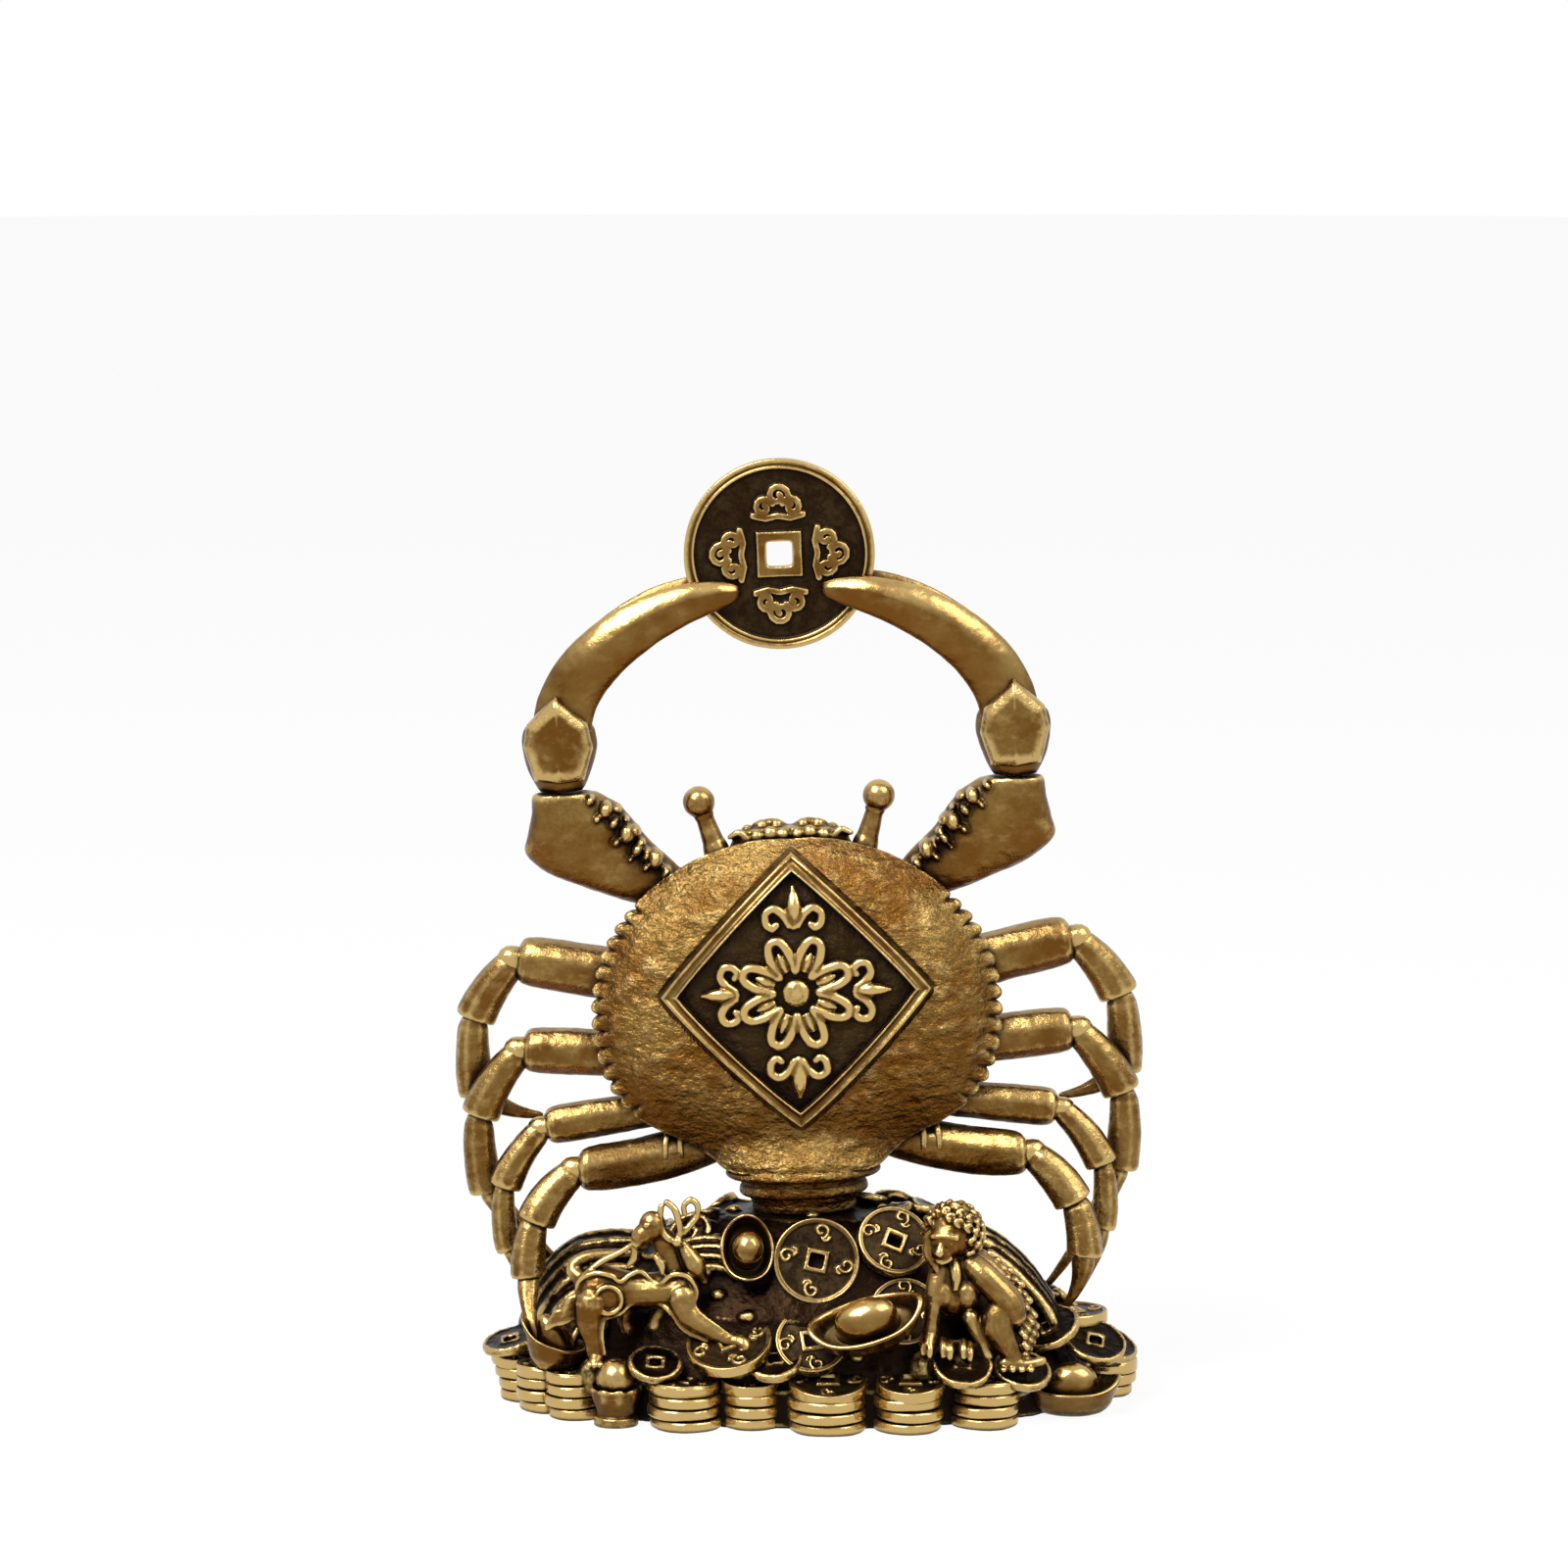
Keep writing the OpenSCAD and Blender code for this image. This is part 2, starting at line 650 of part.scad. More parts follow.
// Belly casting behind the shell, bored for the hips, arms, eyes and the mouth plate
belly_inset = 1.6;
pocket_len = 12;
merus_turn = [0, 0, 0, -8];
module hip_pocket(i) {
    start = hip(i) - polar(merus_angle[i], seat_gap);
    dir = polar(merus_angle[i] + merus_turn[i], 1);
    peg(start, leg_depths[i][0], dir, root_hw[i] + 3 * seat_gap, pocket_len);
}
module belly_shell() {
    coarse = [for (i = [0 : 39]) 9 * i + 4.5];
    ring = function(k, v) [
        for (a = coarse)
            let(r = (shell_r(a) - belly_inset) * k)
                [r * cos(a), v, shell_mid + r * sin(a)]
    ];
    color("peru")
        place_crab()
            difference() {
                skin([
                    ring(0.03, seam),
                    ring(1, seam),
                    ring(1, 1.2),
                    ring(0.93, belly_t * 0.55),
                    ring(0.75, belly_t * 0.88),
                    ring(0.4, belly_t),
                    ring(0.03, belly_t)
                ]);
                for (s = [0, 1])
                    mirror([s, 0, 0]) {
                        for (i = [0 : 3])
                            hip_pocket(i);
                        peg(arm_low, arm_v, arm_dir, arm_root_r + seat_gap, pocket_len);
                        stalk_bore();
                    }
                mouth_block(seat_gap);
                translate([-foot_half_w * 0.8 - seat_gap, -9, 0])
                    cube([foot_half_w * 1.6 + 2 * seat_gap, 18, foot_h + foot_neck + seat_gap]);
            }
}

// Ringed foot: three oval rings on an oval core, with a spigot below and a neck block above
foot_neck = 2.6;
function oval(half_w, half_d) = [for (i = [0 : 39]) [half_w * cos(9 * i), half_d * sin(9 * i)]];
function ring_oval(k, inset) = oval(foot_half_w * k - inset, foot_half_d * k - inset);
module ringed_foot() {
    ring_t = 1.1;
    groove = 0.55;
    steps = [
        [0, 0.67],
        [(foot_h - ring_t) / 2, 0.83],
        [foot_h - ring_t, 1]
    ];
    color("goldenrod")
        place_crab()
            difference() {
                union() {
                    for (s = steps)
                        translate([0, 0, s[0]])
                            linear_extrude(ring_t)
                                polygon(ring_oval(s[1], 0));
                    for (s = [0, 1])
                        translate([0, 0, steps[s][0] + ring_t - tiny])
                            linear_extrude(steps[s + 1][0] - steps[s][0] - ring_t + 2 * tiny)
                                polygon(ring_oval(steps[s][1], groove));
                    translate([-foot_half_w * 0.8, seam, foot_h - tiny])
                        cube([foot_half_w * 1.6, foot_half_d * 0.72, foot_neck]);
                    translate([0, 0, -spigot_len])
                        cylinder(r = spigot_r, h = spigot_len + ring_t);
                }
                translate([0, 0, -spigot_len - tiny])
                    cylinder(r = screw_r + 0.05, h = spigot_len + foot_h * 0.6);
            }
}

// Screw from under the heap into the foot
screw_seat = 3;
screw_reach = foot_h * 0.5;
module foot_screw() {
    head_low = screw_seat - heap_top;
    color("silver")
        place_crab()
            union() {
                translate([0, 0, head_low - screw_head_h])
                    difference() {
                        cylinder(r = screw_head_r, h = screw_head_h);
                        translate([-screw_head_r, -0.4, -tiny])
                            cube([2 * screw_head_r, 0.8, screw_head_h * 0.4]);
                    }
                translate([0, 0, head_low - tiny])
                    cylinder(r = screw_r, h = screw_reach - head_low);
            }
}

// Rows of coin stacks round the rim: angle, drawn radius, coins, drawn inset, tilt of a loose top coin
front_left_rows = [[186, 3.2, 3, 0, 12], [203, 3.3, 4, 0, 0], [215, 3.2, 4, 0, 0]];
front_middle_rows = [[243, 4, 4, 0, 0], [256, 3.5, 3, 2.6, 9]];
front_centre_rows = [[272, 4.2, 3, 0, 15]];
front_right_rows = [[288, 3.7, 3, 0, 14], [305, 3.7, 4, 0, 0]];
right_end_rows = [[2, 3.3, 3, 0, 0], [18, 3.3, 4, 0, 0]];
back_right_rows = [[38, 3.6, 3, 0, 0], [52, 3.9, 4, 0, 0], [66, 3.7, 3, 0, 0]];
back_middle_rows = [[83, 4, 4, 0, 0], [98, 4, 3, 0, 0]];
back_left_rows = [[115, 3.9, 4, 0, 0], [129, 3.6, 3, 0, 0], [143, 3.8, 4, 0, 0], [160, 3.5, 3, 0, 0]];
all_rows = concat(
    front_left_rows, front_middle_rows, front_centre_rows, front_right_rows,
    right_end_rows, back_right_rows, back_middle_rows, back_left_rows
);
function row_r(row) = row[1] * spread_w;
function row_at(row) = let(inset = row_r(row) + row[3] * spread_w)
    [heap_shift + (heap_half_w - inset) * cos(row[0]), (heap_half_d - inset) * sin(row[0]), 0];

module coin_stack(row) {
    r = row_r(row);
    groove = stack_groove / 2;
    for (k = [0 : row[2] - 1])
        translate([0, 0, k * stack_coin_t])
            cylinder(r = r, h = stack_coin_t - groove);
    cylinder(r = r - stack_groove, h = row[2] * stack_coin_t - groove);
    if (row[4] > 0)
        translate([0, 0.3, row[2] * stack_coin_t + r * sin(row[4]) / 2])
            rotate([row[4], 0, 0])
                cylinder(r = r, h = stack_coin_t);
}
module stacks(rows) {
    color("darkgoldenrod")
        union()
            for (row = rows)
                translate(row_at(row))
                    coin_stack(row);
}
module stack_seats() {
    for (row = all_rows)
        translate(row_at(row) - [0, 0, 1])
            cylinder(r = row_r(row) + 3 * seat_gap, h = heap_top);
}

// Loose coins that lean on the front: place, tilt towards the viewer, roll to the right, radius
upright_at = [1.8, -10.2, 16.6, 70, 0, 4.5];
tilted_at = [9.9, -8.2, 18.2, 50, 18, 3.9];
behind_at = [11, -11.6, 11.4, 58, 4, 3.7];
leaning_at = [1.3, -14.2, 8.9, 50, 0, 3.8];
paw_at = [-7.3, -14.2, 8.6, 28, -8, 4.5];
leaning_rows = [upright_at, tilted_at, behind_at, leaning_at, paw_at];
module at_coin(c) {
    translate(spread([c[0], c[1], c[2]]))
        rotate([c[3], c[4], 0])
            children();
}
module leaning_coin_piece(c) {
    color("darkgoldenrod")
        at_coin(c)
            translate([0, 0, -loose_coin_t / 2])
                holed_coin(c[5], loose_coin_t, 0.6, 0.2, loose_hole, 0.4);
}
module coin_seat(c) {
    at_coin(c)
        translate([0, 0, -loose_coin_t / 2 - seat_gap])
            cylinder(r = c[5] + seat_gap, h = loose_coin_t * 4);
}

// Coins that lie on the slope and follow it
slope_places = [
    for (p = [[-18.8, 8.8], [-10.2, 11.6], [-1.6, 12], [7, 11.8], [15.8, 11], [23, 9.4]])
        spread([p[0], p[1], 0])
];
function slope_normal(p) = let(
    h = 0.5,
    gx = (mound_z(p[0] + h, p[1]) - mound_z(p[0] - h, p[1])) / (2 * h),
    gy = (mound_z(p[0], p[1] + h) - mound_z(p[0], p[1] - h)) / (2 * h)
)
    unit([-gx, -gy, 1]);
module on_slope(p) {
    n = slope_normal(p);
    translate([p[0], p[1], mound_z(p[0], p[1])])
        rotate(a = acos(n[2]), v = [-n[1], n[0], 0])
            children();
}
module slope_coins() {
    color("darkgoldenrod")
        for (p = slope_places)
            on_slope(p)
                translate([0, 0, seat_gap - loose_coin_t / 2])
                    holed_coin(loose_coin_r - 0.6, loose_coin_t, 0.6, 0.2, loose_hole, 0.4);
}
module slope_seats() {
    for (p = slope_places)
        on_slope(p)
            translate([0, 0, -loose_coin_t / 2])
                cylinder(r = loose_coin_r - 0.6 + seat_gap, h = loose_coin_t * 4);
}

// Coin that lies level on the right, where two right legs stand
ledge_at = spread([28.9, -1.2, 8.2]);
ledge_r = 3.9;
module ledge_coin() {
    color("darkgoldenrod")
        translate(ledge_at)
            holed_coin(ledge_r, loose_coin_t, 0.6, 0.2, loose_hole, 0.4);
}
module ledge_seat() {
    translate(ledge_at - [0, 0, seat_gap])
        cylinder(r = ledge_r + seat_gap, h = heap_top);
}

// Boat-shaped ingots: half length, half width and height; then place and turns
big_ingot = [6.2, 3.5, 3.6];
right_ingot = [5.2, 3.2, 3.6];
left_ingot = [3.5, 2.9, 3.6];
upper_ingot = [3.6, 2.85, 3.2];
big_ingot_at = spread([7.6, -16, 9.6]);
right_ingot_at = spread([28.6, -8.9, 0.3]);
left_ingot_at = spread([-25.4, -8.8, 4 * stack_coin_t + seat_gap]);
upper_ingot_at = spread([-5.75, -8.6, 17]);
big_ingot_turn = [32, -16, 0];
right_ingot_turn = [8, 0, 0];
left_ingot_turn = [6, -4, 0];
upper_ingot_turn = [0, -66, 98];
function dish_floor(g) = g[2] * 0.6;
module boat(g) {
    n = 20;
    rings = [
        [0.3, 0.3, 0, 0], [0.6, 0.6, 0, 0], [0.86, 0.86, 0.4, 0.1], [1, 1, 0.72, 0.3],
        [0.92, 0.88, 0.78, 0.3], [0.72, 0.68, 0.62, 0.08], [0.46, 0.48, 0.56, 0],
        [0.42, 0.46, 0.74, 0], [0.28, 0.3, 0.96, 0], [0.08, 0.08, 1.04, 0]
    ];
    skin(back_to_front([
        for (r = rings)
            [
                for (k = [0 : n - 1])
                    let(a = 360 * k / n)
                        [g[0] * r[0] * cos(a), g[1] * r[1] * sin(a), g[2] * (r[2] + r[3] * pow(cos(a), 4))]
            ]
    ]));
}
module ingot(g, at, turn) {
    color("gold")
        translate(at)
            rotate(turn)
                boat(g);
}
module ingot_seat(g, at, turn) {
    translate(at)
        rotate(turn)
            translate([0, 0, -seat_gap])
                linear_extrude(g[2] * 3)
                    polygon(oval(g[0] * 0.97 + seat_gap, g[1] * 0.97 + seat_gap));
}

// Pearl in a bowl on the front rim
pearl_angle = 229.5;
pearl_r = 1.75;
bowl_r = 2.3;
bowl_top = 4.6;
pearl_foot = [
    heap_shift + (heap_half_w - bowl_r - 0.2) * cos(pearl_angle),
    (heap_half_d - bowl_r - 0.2) * sin(pearl_angle),
    0
];
module pearl_bowl() {
    color("darkgoldenrod")
        translate(pearl_foot)
            rotate_extrude()
                difference() {
                    polygon([
                        [0, 0], [bowl_r, 0], [bowl_r, 1.1], [bowl_r * 0.75, 1.3], [bowl_r * 0.7, 2],
                        [bowl_r, 3.2], [bowl_r + 0.15, bowl_top], [0, bowl_top]
                    ]);
                    translate([0, bowl_top + pearl_r * 0.35])
                        circle(r = pearl_r + seat_gap);
                }
}
module pearl() {
    color("gold")
        translate(pearl_foot + [0, 0, bowl_top + pearl_r * 0.35])
            sphere(r = pearl_r);
}

// Dome of the mound, lifted by a gap
module mound_dome(lift) {
    around = 40;
    shares = [0.12, 0.26, 0.42, 0.58, 0.74, 0.88, 1];
    ring = function(k, drop) [
        for (i = [0 : around - 1])
            let(
                x = heap_shift + mound_rx * k * cos(360 * i / around),
                y = mound_ry * k * sin(360 * i / around)
            )
                [x, y, drop ? 0 : mound_z(x, y) + lift]
    ];
    skin(concat([for (k = shares) ring(k, false)], [ring(1, true), ring(0.3, true)]));
}
module heap_mound() {
    color("saddlebrown")
        difference() {
            mound_dome(0);
            stack_seats();
            slope_seats();
            ledge_seat();
            for (c = leaning_rows)
                coin_seat(c);
            ingot_seat(big_ingot, big_ingot_at, big_ingot_turn);
            ingot_seat(right_ingot, right_ingot_at, right_ingot_turn);
            ingot_seat(left_ingot, left_ingot_at, left_ingot_turn);
            ingot_seat(upper_ingot, upper_ingot_at, upper_ingot_turn);
            translate([pearl_foot[0], pearl_foot[1], -1])
                cylinder(r = bowl_r + 4 * seat_gap, h = heap_top);
            place_crab() {
                translate([-heap_half_w, -heap_half_d, 0])
                    cube([2 * heap_half_w, 2 * heap_half_d, 9]);
                translate([0, 0, -spigot_len - 2 * seat_gap])
                    cylinder(r = spigot_r + 0.1, h = heap_top);
                translate([0, 0, -heap_top - 2])
                    cylinder(r = screw_r + seat_gap, h = heap_top);
                translate([0, 0, -heap_top - 2])
                    cylinder(r = screw_head_r + seat_gap, h = screw_seat + 2);
            }
        }
}

// Beasts, built from tapered limbs between round joints
function on_heap(p, r) = [p[0], p[1], mound_z(p[0], p[1]) + (r + seat_gap) / slope_normal(p)[2]];
module limb3(a, ra, b, rb) {
    hull() {
        translate(a)
            sphere(r = ra, $fn = 14);
        translate(b)
            sphere(r = rb, $fn = 14);
    }
}
horned_at = spread([-17, -10.8, 13.6]);
module left_beast() {
    rump = horned_at + [-5, 0, 0];
    shoulder = horned_at + [4.6, -0.6, 0.4];
    head = horned_at + [2.6, -1, 6.2];
    color("gold")
        union() {
            limb3(rump, 2.1, horned_at, 1.6);
            limb3(horned_at, 1.6, shoulder, 1.8);
            limb3(rump + [1.4, -1.3, -0.9], 1.9, rump + [1.3, -1.2, -1.2], 1.8);
            limb3(rump + [0.3, -0.8, -1.5], 1.4, rump + [1, -0.6, -4.4], 0.9);
            limb3(rump + [1, -0.6, -4.4], 0.9, on_heap(rump + [1.4, -0.8, 0], 0.9), 0.9);
            limb3(rump + [2.2, 1.2, -1.2], 1.2, on_heap(rump + [2.6, 1.6, 0], 0.8), 0.8);
            limb3(shoulder + [0.4, -0.9, -0.8], 1.3, shoulder + [3.2, -1.8, -2.4], 0.85);
            limb3(shoulder + [3.2, -1.8, -2.4], 0.85, shoulder + [5.6, -2.6, -3.4], 0.95);
            limb3(shoulder + [-0.2, 0, 0.4], 1.6, head + [0.6, 0, -1.4], 1.2);
            limb3(shoulder + [0.6, 0.2, 2.6], 1.3, shoulder + [-0.1, 0, 0.6], 1.5);
            limb3(head + [0.5, 0, -1.2], 1.3, head + [-1.8, -0.1, 0.2], 1.15);
            limb3(head + [0.3, -0.2, -0.2], 0.6, head + [0.2, -0.2, 1.8], 0.6);
            limb3(head + [1.5, -0.2, -0.4], 0.6, head + [2.3, -0.2, 1.7], 0.6);
            limb3(rump + [-1, 0.8, 0.6], 0.8, rump + [-2.6, 1.6, 2.2], 0.9);
            limb3(rump + [-2.6, 1.6, 2.2], 0.9, rump + [4, 2.2, 3.6], 1);
        }
}
maned_at = spread([16.9, -12.3, 13.5]);
module right_beast() {
    head = maned_at + [-0.2, -0.6, 6.4];
    paw = on_heap(maned_at + [-3, -2.2, 0], 0.85);
    back_knee = on_heap(maned_at + [7, 3.4, 0], 1.6);
    color("gold")
        union() {
            limb3(head, 3.1, head + [0.3, 0.2, 0.6], 3);
            limb3(head + [-0.6, -1.2, -1], 2.1, head + [-1.2, -2.2, -1.4], 1.4);
            limb3(head + [0.4, 0.6, -2.4], 2.1, maned_at + [0.3, 0.2, 0.4], 2.5);
            limb3(maned_at + [0.3, 0.2, 0.4], 2.5, maned_at + [0, -0.4, -0.2], 2.3);
            limb3(maned_at + [-1.6, -1, 0.4], 1.1, paw, 0.85);
            limb3(paw, 0.85, on_heap(maned_at + [-2.6, -2.9, 0], 0.9), 0.9);
            limb3(maned_at + [2.4, -0.6, 1.8], 1.5, maned_at + [5, -1.4, -2], 1.7);
            limb3(maned_at + [5, -1.4, -2], 1.7, maned_at + [5.4, -1.8, -6.4], 1.1);
            limb3(maned_at + [4.2, -2.6, -7.4], 0.85, maned_at + [7.6, -1.6, -7.3], 0.8);
            limb3(maned_at + [2.2, 1.2, 1.6], 2, back_knee, 1.6);
            limb3(back_knee, 1.6, on_heap(maned_at + [8.4, 1.4, 0], 1.4), 1.4);
        }
}

heap_nodes = [
    "heap_mound", "front_left_stacks", "front_middle_stacks", "front_centre_stack", "front_right_stacks",
    "right_end_stacks", "back_right_stacks", "back_middle_stacks", "back_left_stacks",
    "upright_coin", "tilted_coin", "coin_behind_ingot", "leaning_coin", "paw_coin",
    "slope_coins", "ledge_coin",
    "big_ingot", "right_ingot", "left_ingot", "upper_ingot", "pearl_bowl", "pearl",
    "left_beast", "right_beast"
];
crab_nodes = [
    "foot_screw", "ringed_foot", "belly_shell", "carapace",
    "plaque_frame", "plaque_flower", "mouth_plate", "held_coin"
];
pair_nodes = ["eye_stalk", "claw_arm", "claw_wrist", "front_finger", "back_finger"];
function pair_name(side, name) = str(side, "_", name);
function leg_name(side, i, name) = str(side, "_leg_", i + 1, "_", name);

heap_mound();
stacks(front_left_rows);  // front_left_stacks
stacks(front_middle_rows);  // front_middle_stacks
stacks(front_centre_rows);  // front_centre_stack
stacks(front_right_rows);  // front_right_stacks
stacks(right_end_rows);  // right_end_stacks
stacks(back_right_rows);  // back_right_stacks
stacks(back_middle_rows);  // back_middle_stacks
stacks(back_left_rows);  // back_left_stacks
leaning_coin_piece(upright_at);  // upright_coin
leaning_coin_piece(tilted_at);  // tilted_coin
leaning_coin_piece(behind_at);  // coin_behind_ingot
leaning_coin_piece(leaning_at);  // leaning_coin
leaning_coin_piece(paw_at);  // paw_coin
slope_coins();
ledge_coin();
ingot(big_ingot, big_ingot_at, big_ingot_turn);
ingot(right_ingot, right_ingot_at, right_ingot_turn);
ingot(left_ingot, left_ingot_at, left_ingot_turn);
ingot(upper_ingot, upper_ingot_at, upper_ingot_turn);
pearl_bowl();
pearl();
left_beast();
right_beast();
foot_screw();
ringed_foot();
belly_shell();
carapace();
plaque_frame();
plaque_flower();
mouth_plate();
held_coin();
for (side = sides) {
    eye_stalk(side);
    claw_arm(side);
    claw_wrist(side);
    front_finger(side);
    back_finger(side);
    for (i = [0 : 3]) {
        leg_upper(side, i);
        leg_lower(side, i);
    }
}
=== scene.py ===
# Antique brass crab that holds a coin over a heap of coins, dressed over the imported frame
import math

import bmesh
import bpy
import numpy as np
from mathutils import Matrix, Vector


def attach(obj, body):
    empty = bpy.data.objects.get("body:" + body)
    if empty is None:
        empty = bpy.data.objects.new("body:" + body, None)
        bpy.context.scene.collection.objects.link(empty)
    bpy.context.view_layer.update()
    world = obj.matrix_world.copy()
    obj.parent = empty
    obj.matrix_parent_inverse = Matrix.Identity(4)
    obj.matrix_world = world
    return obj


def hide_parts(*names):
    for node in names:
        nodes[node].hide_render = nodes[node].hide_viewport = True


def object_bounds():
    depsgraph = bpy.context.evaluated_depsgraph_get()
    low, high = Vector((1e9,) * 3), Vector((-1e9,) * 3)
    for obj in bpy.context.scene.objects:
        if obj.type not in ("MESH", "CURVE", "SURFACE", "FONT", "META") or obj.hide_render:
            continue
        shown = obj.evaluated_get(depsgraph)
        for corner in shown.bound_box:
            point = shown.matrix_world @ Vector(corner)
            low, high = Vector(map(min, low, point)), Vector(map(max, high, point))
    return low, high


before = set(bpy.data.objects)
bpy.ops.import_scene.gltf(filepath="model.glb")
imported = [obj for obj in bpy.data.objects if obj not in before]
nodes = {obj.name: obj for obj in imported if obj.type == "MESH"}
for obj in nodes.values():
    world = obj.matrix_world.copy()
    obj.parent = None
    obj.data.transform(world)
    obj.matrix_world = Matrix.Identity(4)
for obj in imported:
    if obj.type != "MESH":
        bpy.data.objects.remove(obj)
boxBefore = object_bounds()
boxLow, boxHigh = (np.array(corner) * 1000 for corner in boxBefore)
print("frame loaded with", len(nodes), "nodes")


# shapes in millimetres
def unitRows(a):
    return a / np.maximum(np.linalg.norm(a, axis=-1, keepdims=True), 1e-9)


def smoothStep(t):
    k = np.clip(t, 0, 1)
    return k * k * (3 - 2 * k)


def power(x, p):
    return np.sign(x) * np.abs(x) ** p


def fullTurn(count):
    return np.linspace(0, 2 * math.pi, count, endpoint=False)


# a ring of points from three coordinates, each a row of numbers or one number for all
def ringOf(x, y, z):
    return np.stack(np.broadcast_arrays(x, y, z), axis=-1)


def ovalRing(a, rx, ry, z, across=0.0):
    return ringOf(across + rx * np.cos(a), ry * np.sin(a), z)


# smooth curve through rows of numbers, with count rows in the result
def curveThrough(rows, count):
    p = np.asarray(rows, float)
    p = np.vstack([2 * p[0] - p[1], p, 2 * p[-1] - p[-2]])
    t = np.linspace(0, len(p) - 3 - 1e-9, count)
    k = np.floor(t).astype(int)
    f = (t - k)[:, None]
    a, b, c, d = p[k], p[k + 1], p[k + 2], p[k + 3]
    return 0.5 * (2 * b + (c - a) * f + (2 * a - 5 * b + 4 * c - d) * f**2 + (3 * b - a - 3 * c + d) * f**3)


# a shell is its points, its quads, its triangles and the grime at each point
def skin(rings):
    rings = np.asarray(rings, float)
    m, n = rings.shape[:2]
    points = np.vstack([rings.reshape(-1, 3), rings[0].mean(axis=0), rings[-1].mean(axis=0)])
    j, i = np.meshgrid(np.arange(m - 1), np.arange(n), indexing="ij")
    a = (j * n + i).ravel()
    b = (j * n + (i + 1) % n).ravel()
    k = np.arange(n)
    last = (m - 1) * n
    low = np.column_stack([(k + 1) % n, k, np.full(n, m * n)])
    top = np.column_stack([k + last, (k + 1) % n + last, np.full(n, m * n + 1)])
    return points, np.column_stack([a, b, b + n, a + n]), np.vstack([low, top]), np.zeros(len(points))


# skin that closes on itself both ways, like a ring
def hoop(rings):
    rings = np.asarray(rings, float)
    m, n = rings.shape[:2]
    j, i = np.meshgrid(np.arange(m), np.arange(n), indexing="ij")
    here = j * n
    there = (j + 1) % m * n
    quads = np.stack([here + i, here + (i + 1) % n, there + (i + 1) % n, there + i], axis=-1)
    return rings.reshape(-1, 3), quads.reshape(-1, 4), np.zeros((0, 3), int), np.zeros(m * n)


def joined(shells):
    points, quads, tris, grime = [], [], [], []
    start = 0
    for p, q, t, g in shells:
        points.append(p)
        quads.append(q + start)
        tris.append(t + start)
        grime.append(g)
        start += len(p)
    return np.vstack(points), np.vstack(quads), np.vstack(tris), np.concatenate(grime)


def moved(shell, change):
    return change(shell[0]), shell[1], shell[2], shell[3]


# round bar through points, with a radius at each and round ends
def rod(points, radii, around=18, count=None, flat=1.0):
    rows = np.column_stack([np.asarray(points, float), np.broadcast_to(radii, len(points))])
    path = curveThrough(rows, count or 10 * len(points))
    centre = path[:, :3]
    r = np.maximum(path[:, 3], 0.03)
    along = unitRows(np.gradient(centre, axis=0))
    side = np.cross(along[0], (0.31, 0.52, 0.79))
    sides = []
    for t in along:
        side = side - t * side.dot(t)
        side = side / max(np.linalg.norm(side), 1e-9)
        sides.append(side)
    a = fullTurn(around)

    def ring(k, middle, radius):
        up = np.cross(along[k], sides[k])
        return middle + radius * (np.outer(np.cos(a), sides[k]) + flat * np.outer(np.sin(a), up))

    def cap(k, turn, way):
        s = math.radians(turn)
        return ring(k, centre[k] + way * along[k] * r[k] * math.sin(s), r[k] * math.cos(s))

    rings = [cap(0, turn, -1) for turn in (80, 55, 25)]
    rings += [ring(k, centre[k], r[k]) for k in range(len(centre))]
    rings += [cap(-1, turn, 1) for turn in (25, 55, 80)]
    return skin(rings)


def turnMatrix(turn):
    x, y, z = (math.radians(k) for k in turn)
    rx = np.array([[1, 0, 0], [0, math.cos(x), -math.sin(x)], [0, math.sin(x), math.cos(x)]])
    ry = np.array([[math.cos(y), 0, math.sin(y)], [0, 1, 0], [-math.sin(y), 0, math.cos(y)]])
    rz = np.array([[math.cos(z), -math.sin(z), 0], [math.sin(z), math.cos(z), 0], [0, 0, 1]])
    return rz @ ry @ rx


def placed(shell, at, turn=(0, 0, 0)):
    turnBy = turnMatrix(turn)
    return moved(shell, lambda p: p @ turnBy.T + np.asarray(at, float))


# egg-shaped lump, turned by x, y and z degrees
def lump(centre, radii, turn=(0, 0, 0), around=22):
    a = fullTurn(around)
    rings = []
    for s in np.linspace(-0.49, 0.49, around // 2 + 2) * math.pi:
        ring = ringOf(np.cos(a) * np.cos(s), np.sin(a) * np.cos(s), np.sin(s))
        rings.append(ring * np.broadcast_to(radii, 3))
    return placed(skin(rings), centre, turn)


# large odd numbers that scatter a cell's number
scatter = dict(x=73856093, y=19349663, z=83492791, seed=2654435761, mix=1274126177)


# smooth noise between -1 and 1, with features about size mm wide
def castNoise(points, size, seed):
    q = points / size + seed * 7.31
    cell = np.floor(q).astype(np.int64)
    f = q - cell
    f = f * f * (3 - 2 * f)
    total = np.zeros(len(points))
    for corner in range(8):
        d = np.array([corner & 1, corner >> 1 & 1, corner >> 2 & 1])
        c = cell + d
        h = (c[:, 0] * scatter["x"]) ^ (c[:, 1] * scatter["y"]) ^ (c[:, 2] * scatter["z"])
        h = h ^ (seed * scatter["seed"])
        h = ((h ^ (h >> 13)) * scatter["mix"]) & 0xFFFFFFFF
        value = ((h ^ (h >> 16)) & 0xFFFF) / 32767.5 - 1
        total += value * np.prod(np.where(d == 1, f, 1 - f), axis=1)
    return total


# from shells to pieces

# height and width of each unevenness of a casting, in millimetres
casting = dict(wave=(0.05, 2.6), pit=(0.022, 0.8), grain=(0.011, 0.36))
hands = ((-1, "left"), (1, "right"))


def newObject(name, data):
    made = bpy.data.objects.new(name, data)
    bpy.context.scene.collection.objects.link(made)
    return made


def store(mesh, name, values):
    mesh.attributes.new(name, "FLOAT", "POINT").data.foreach_set("value", values.astype(np.float32))


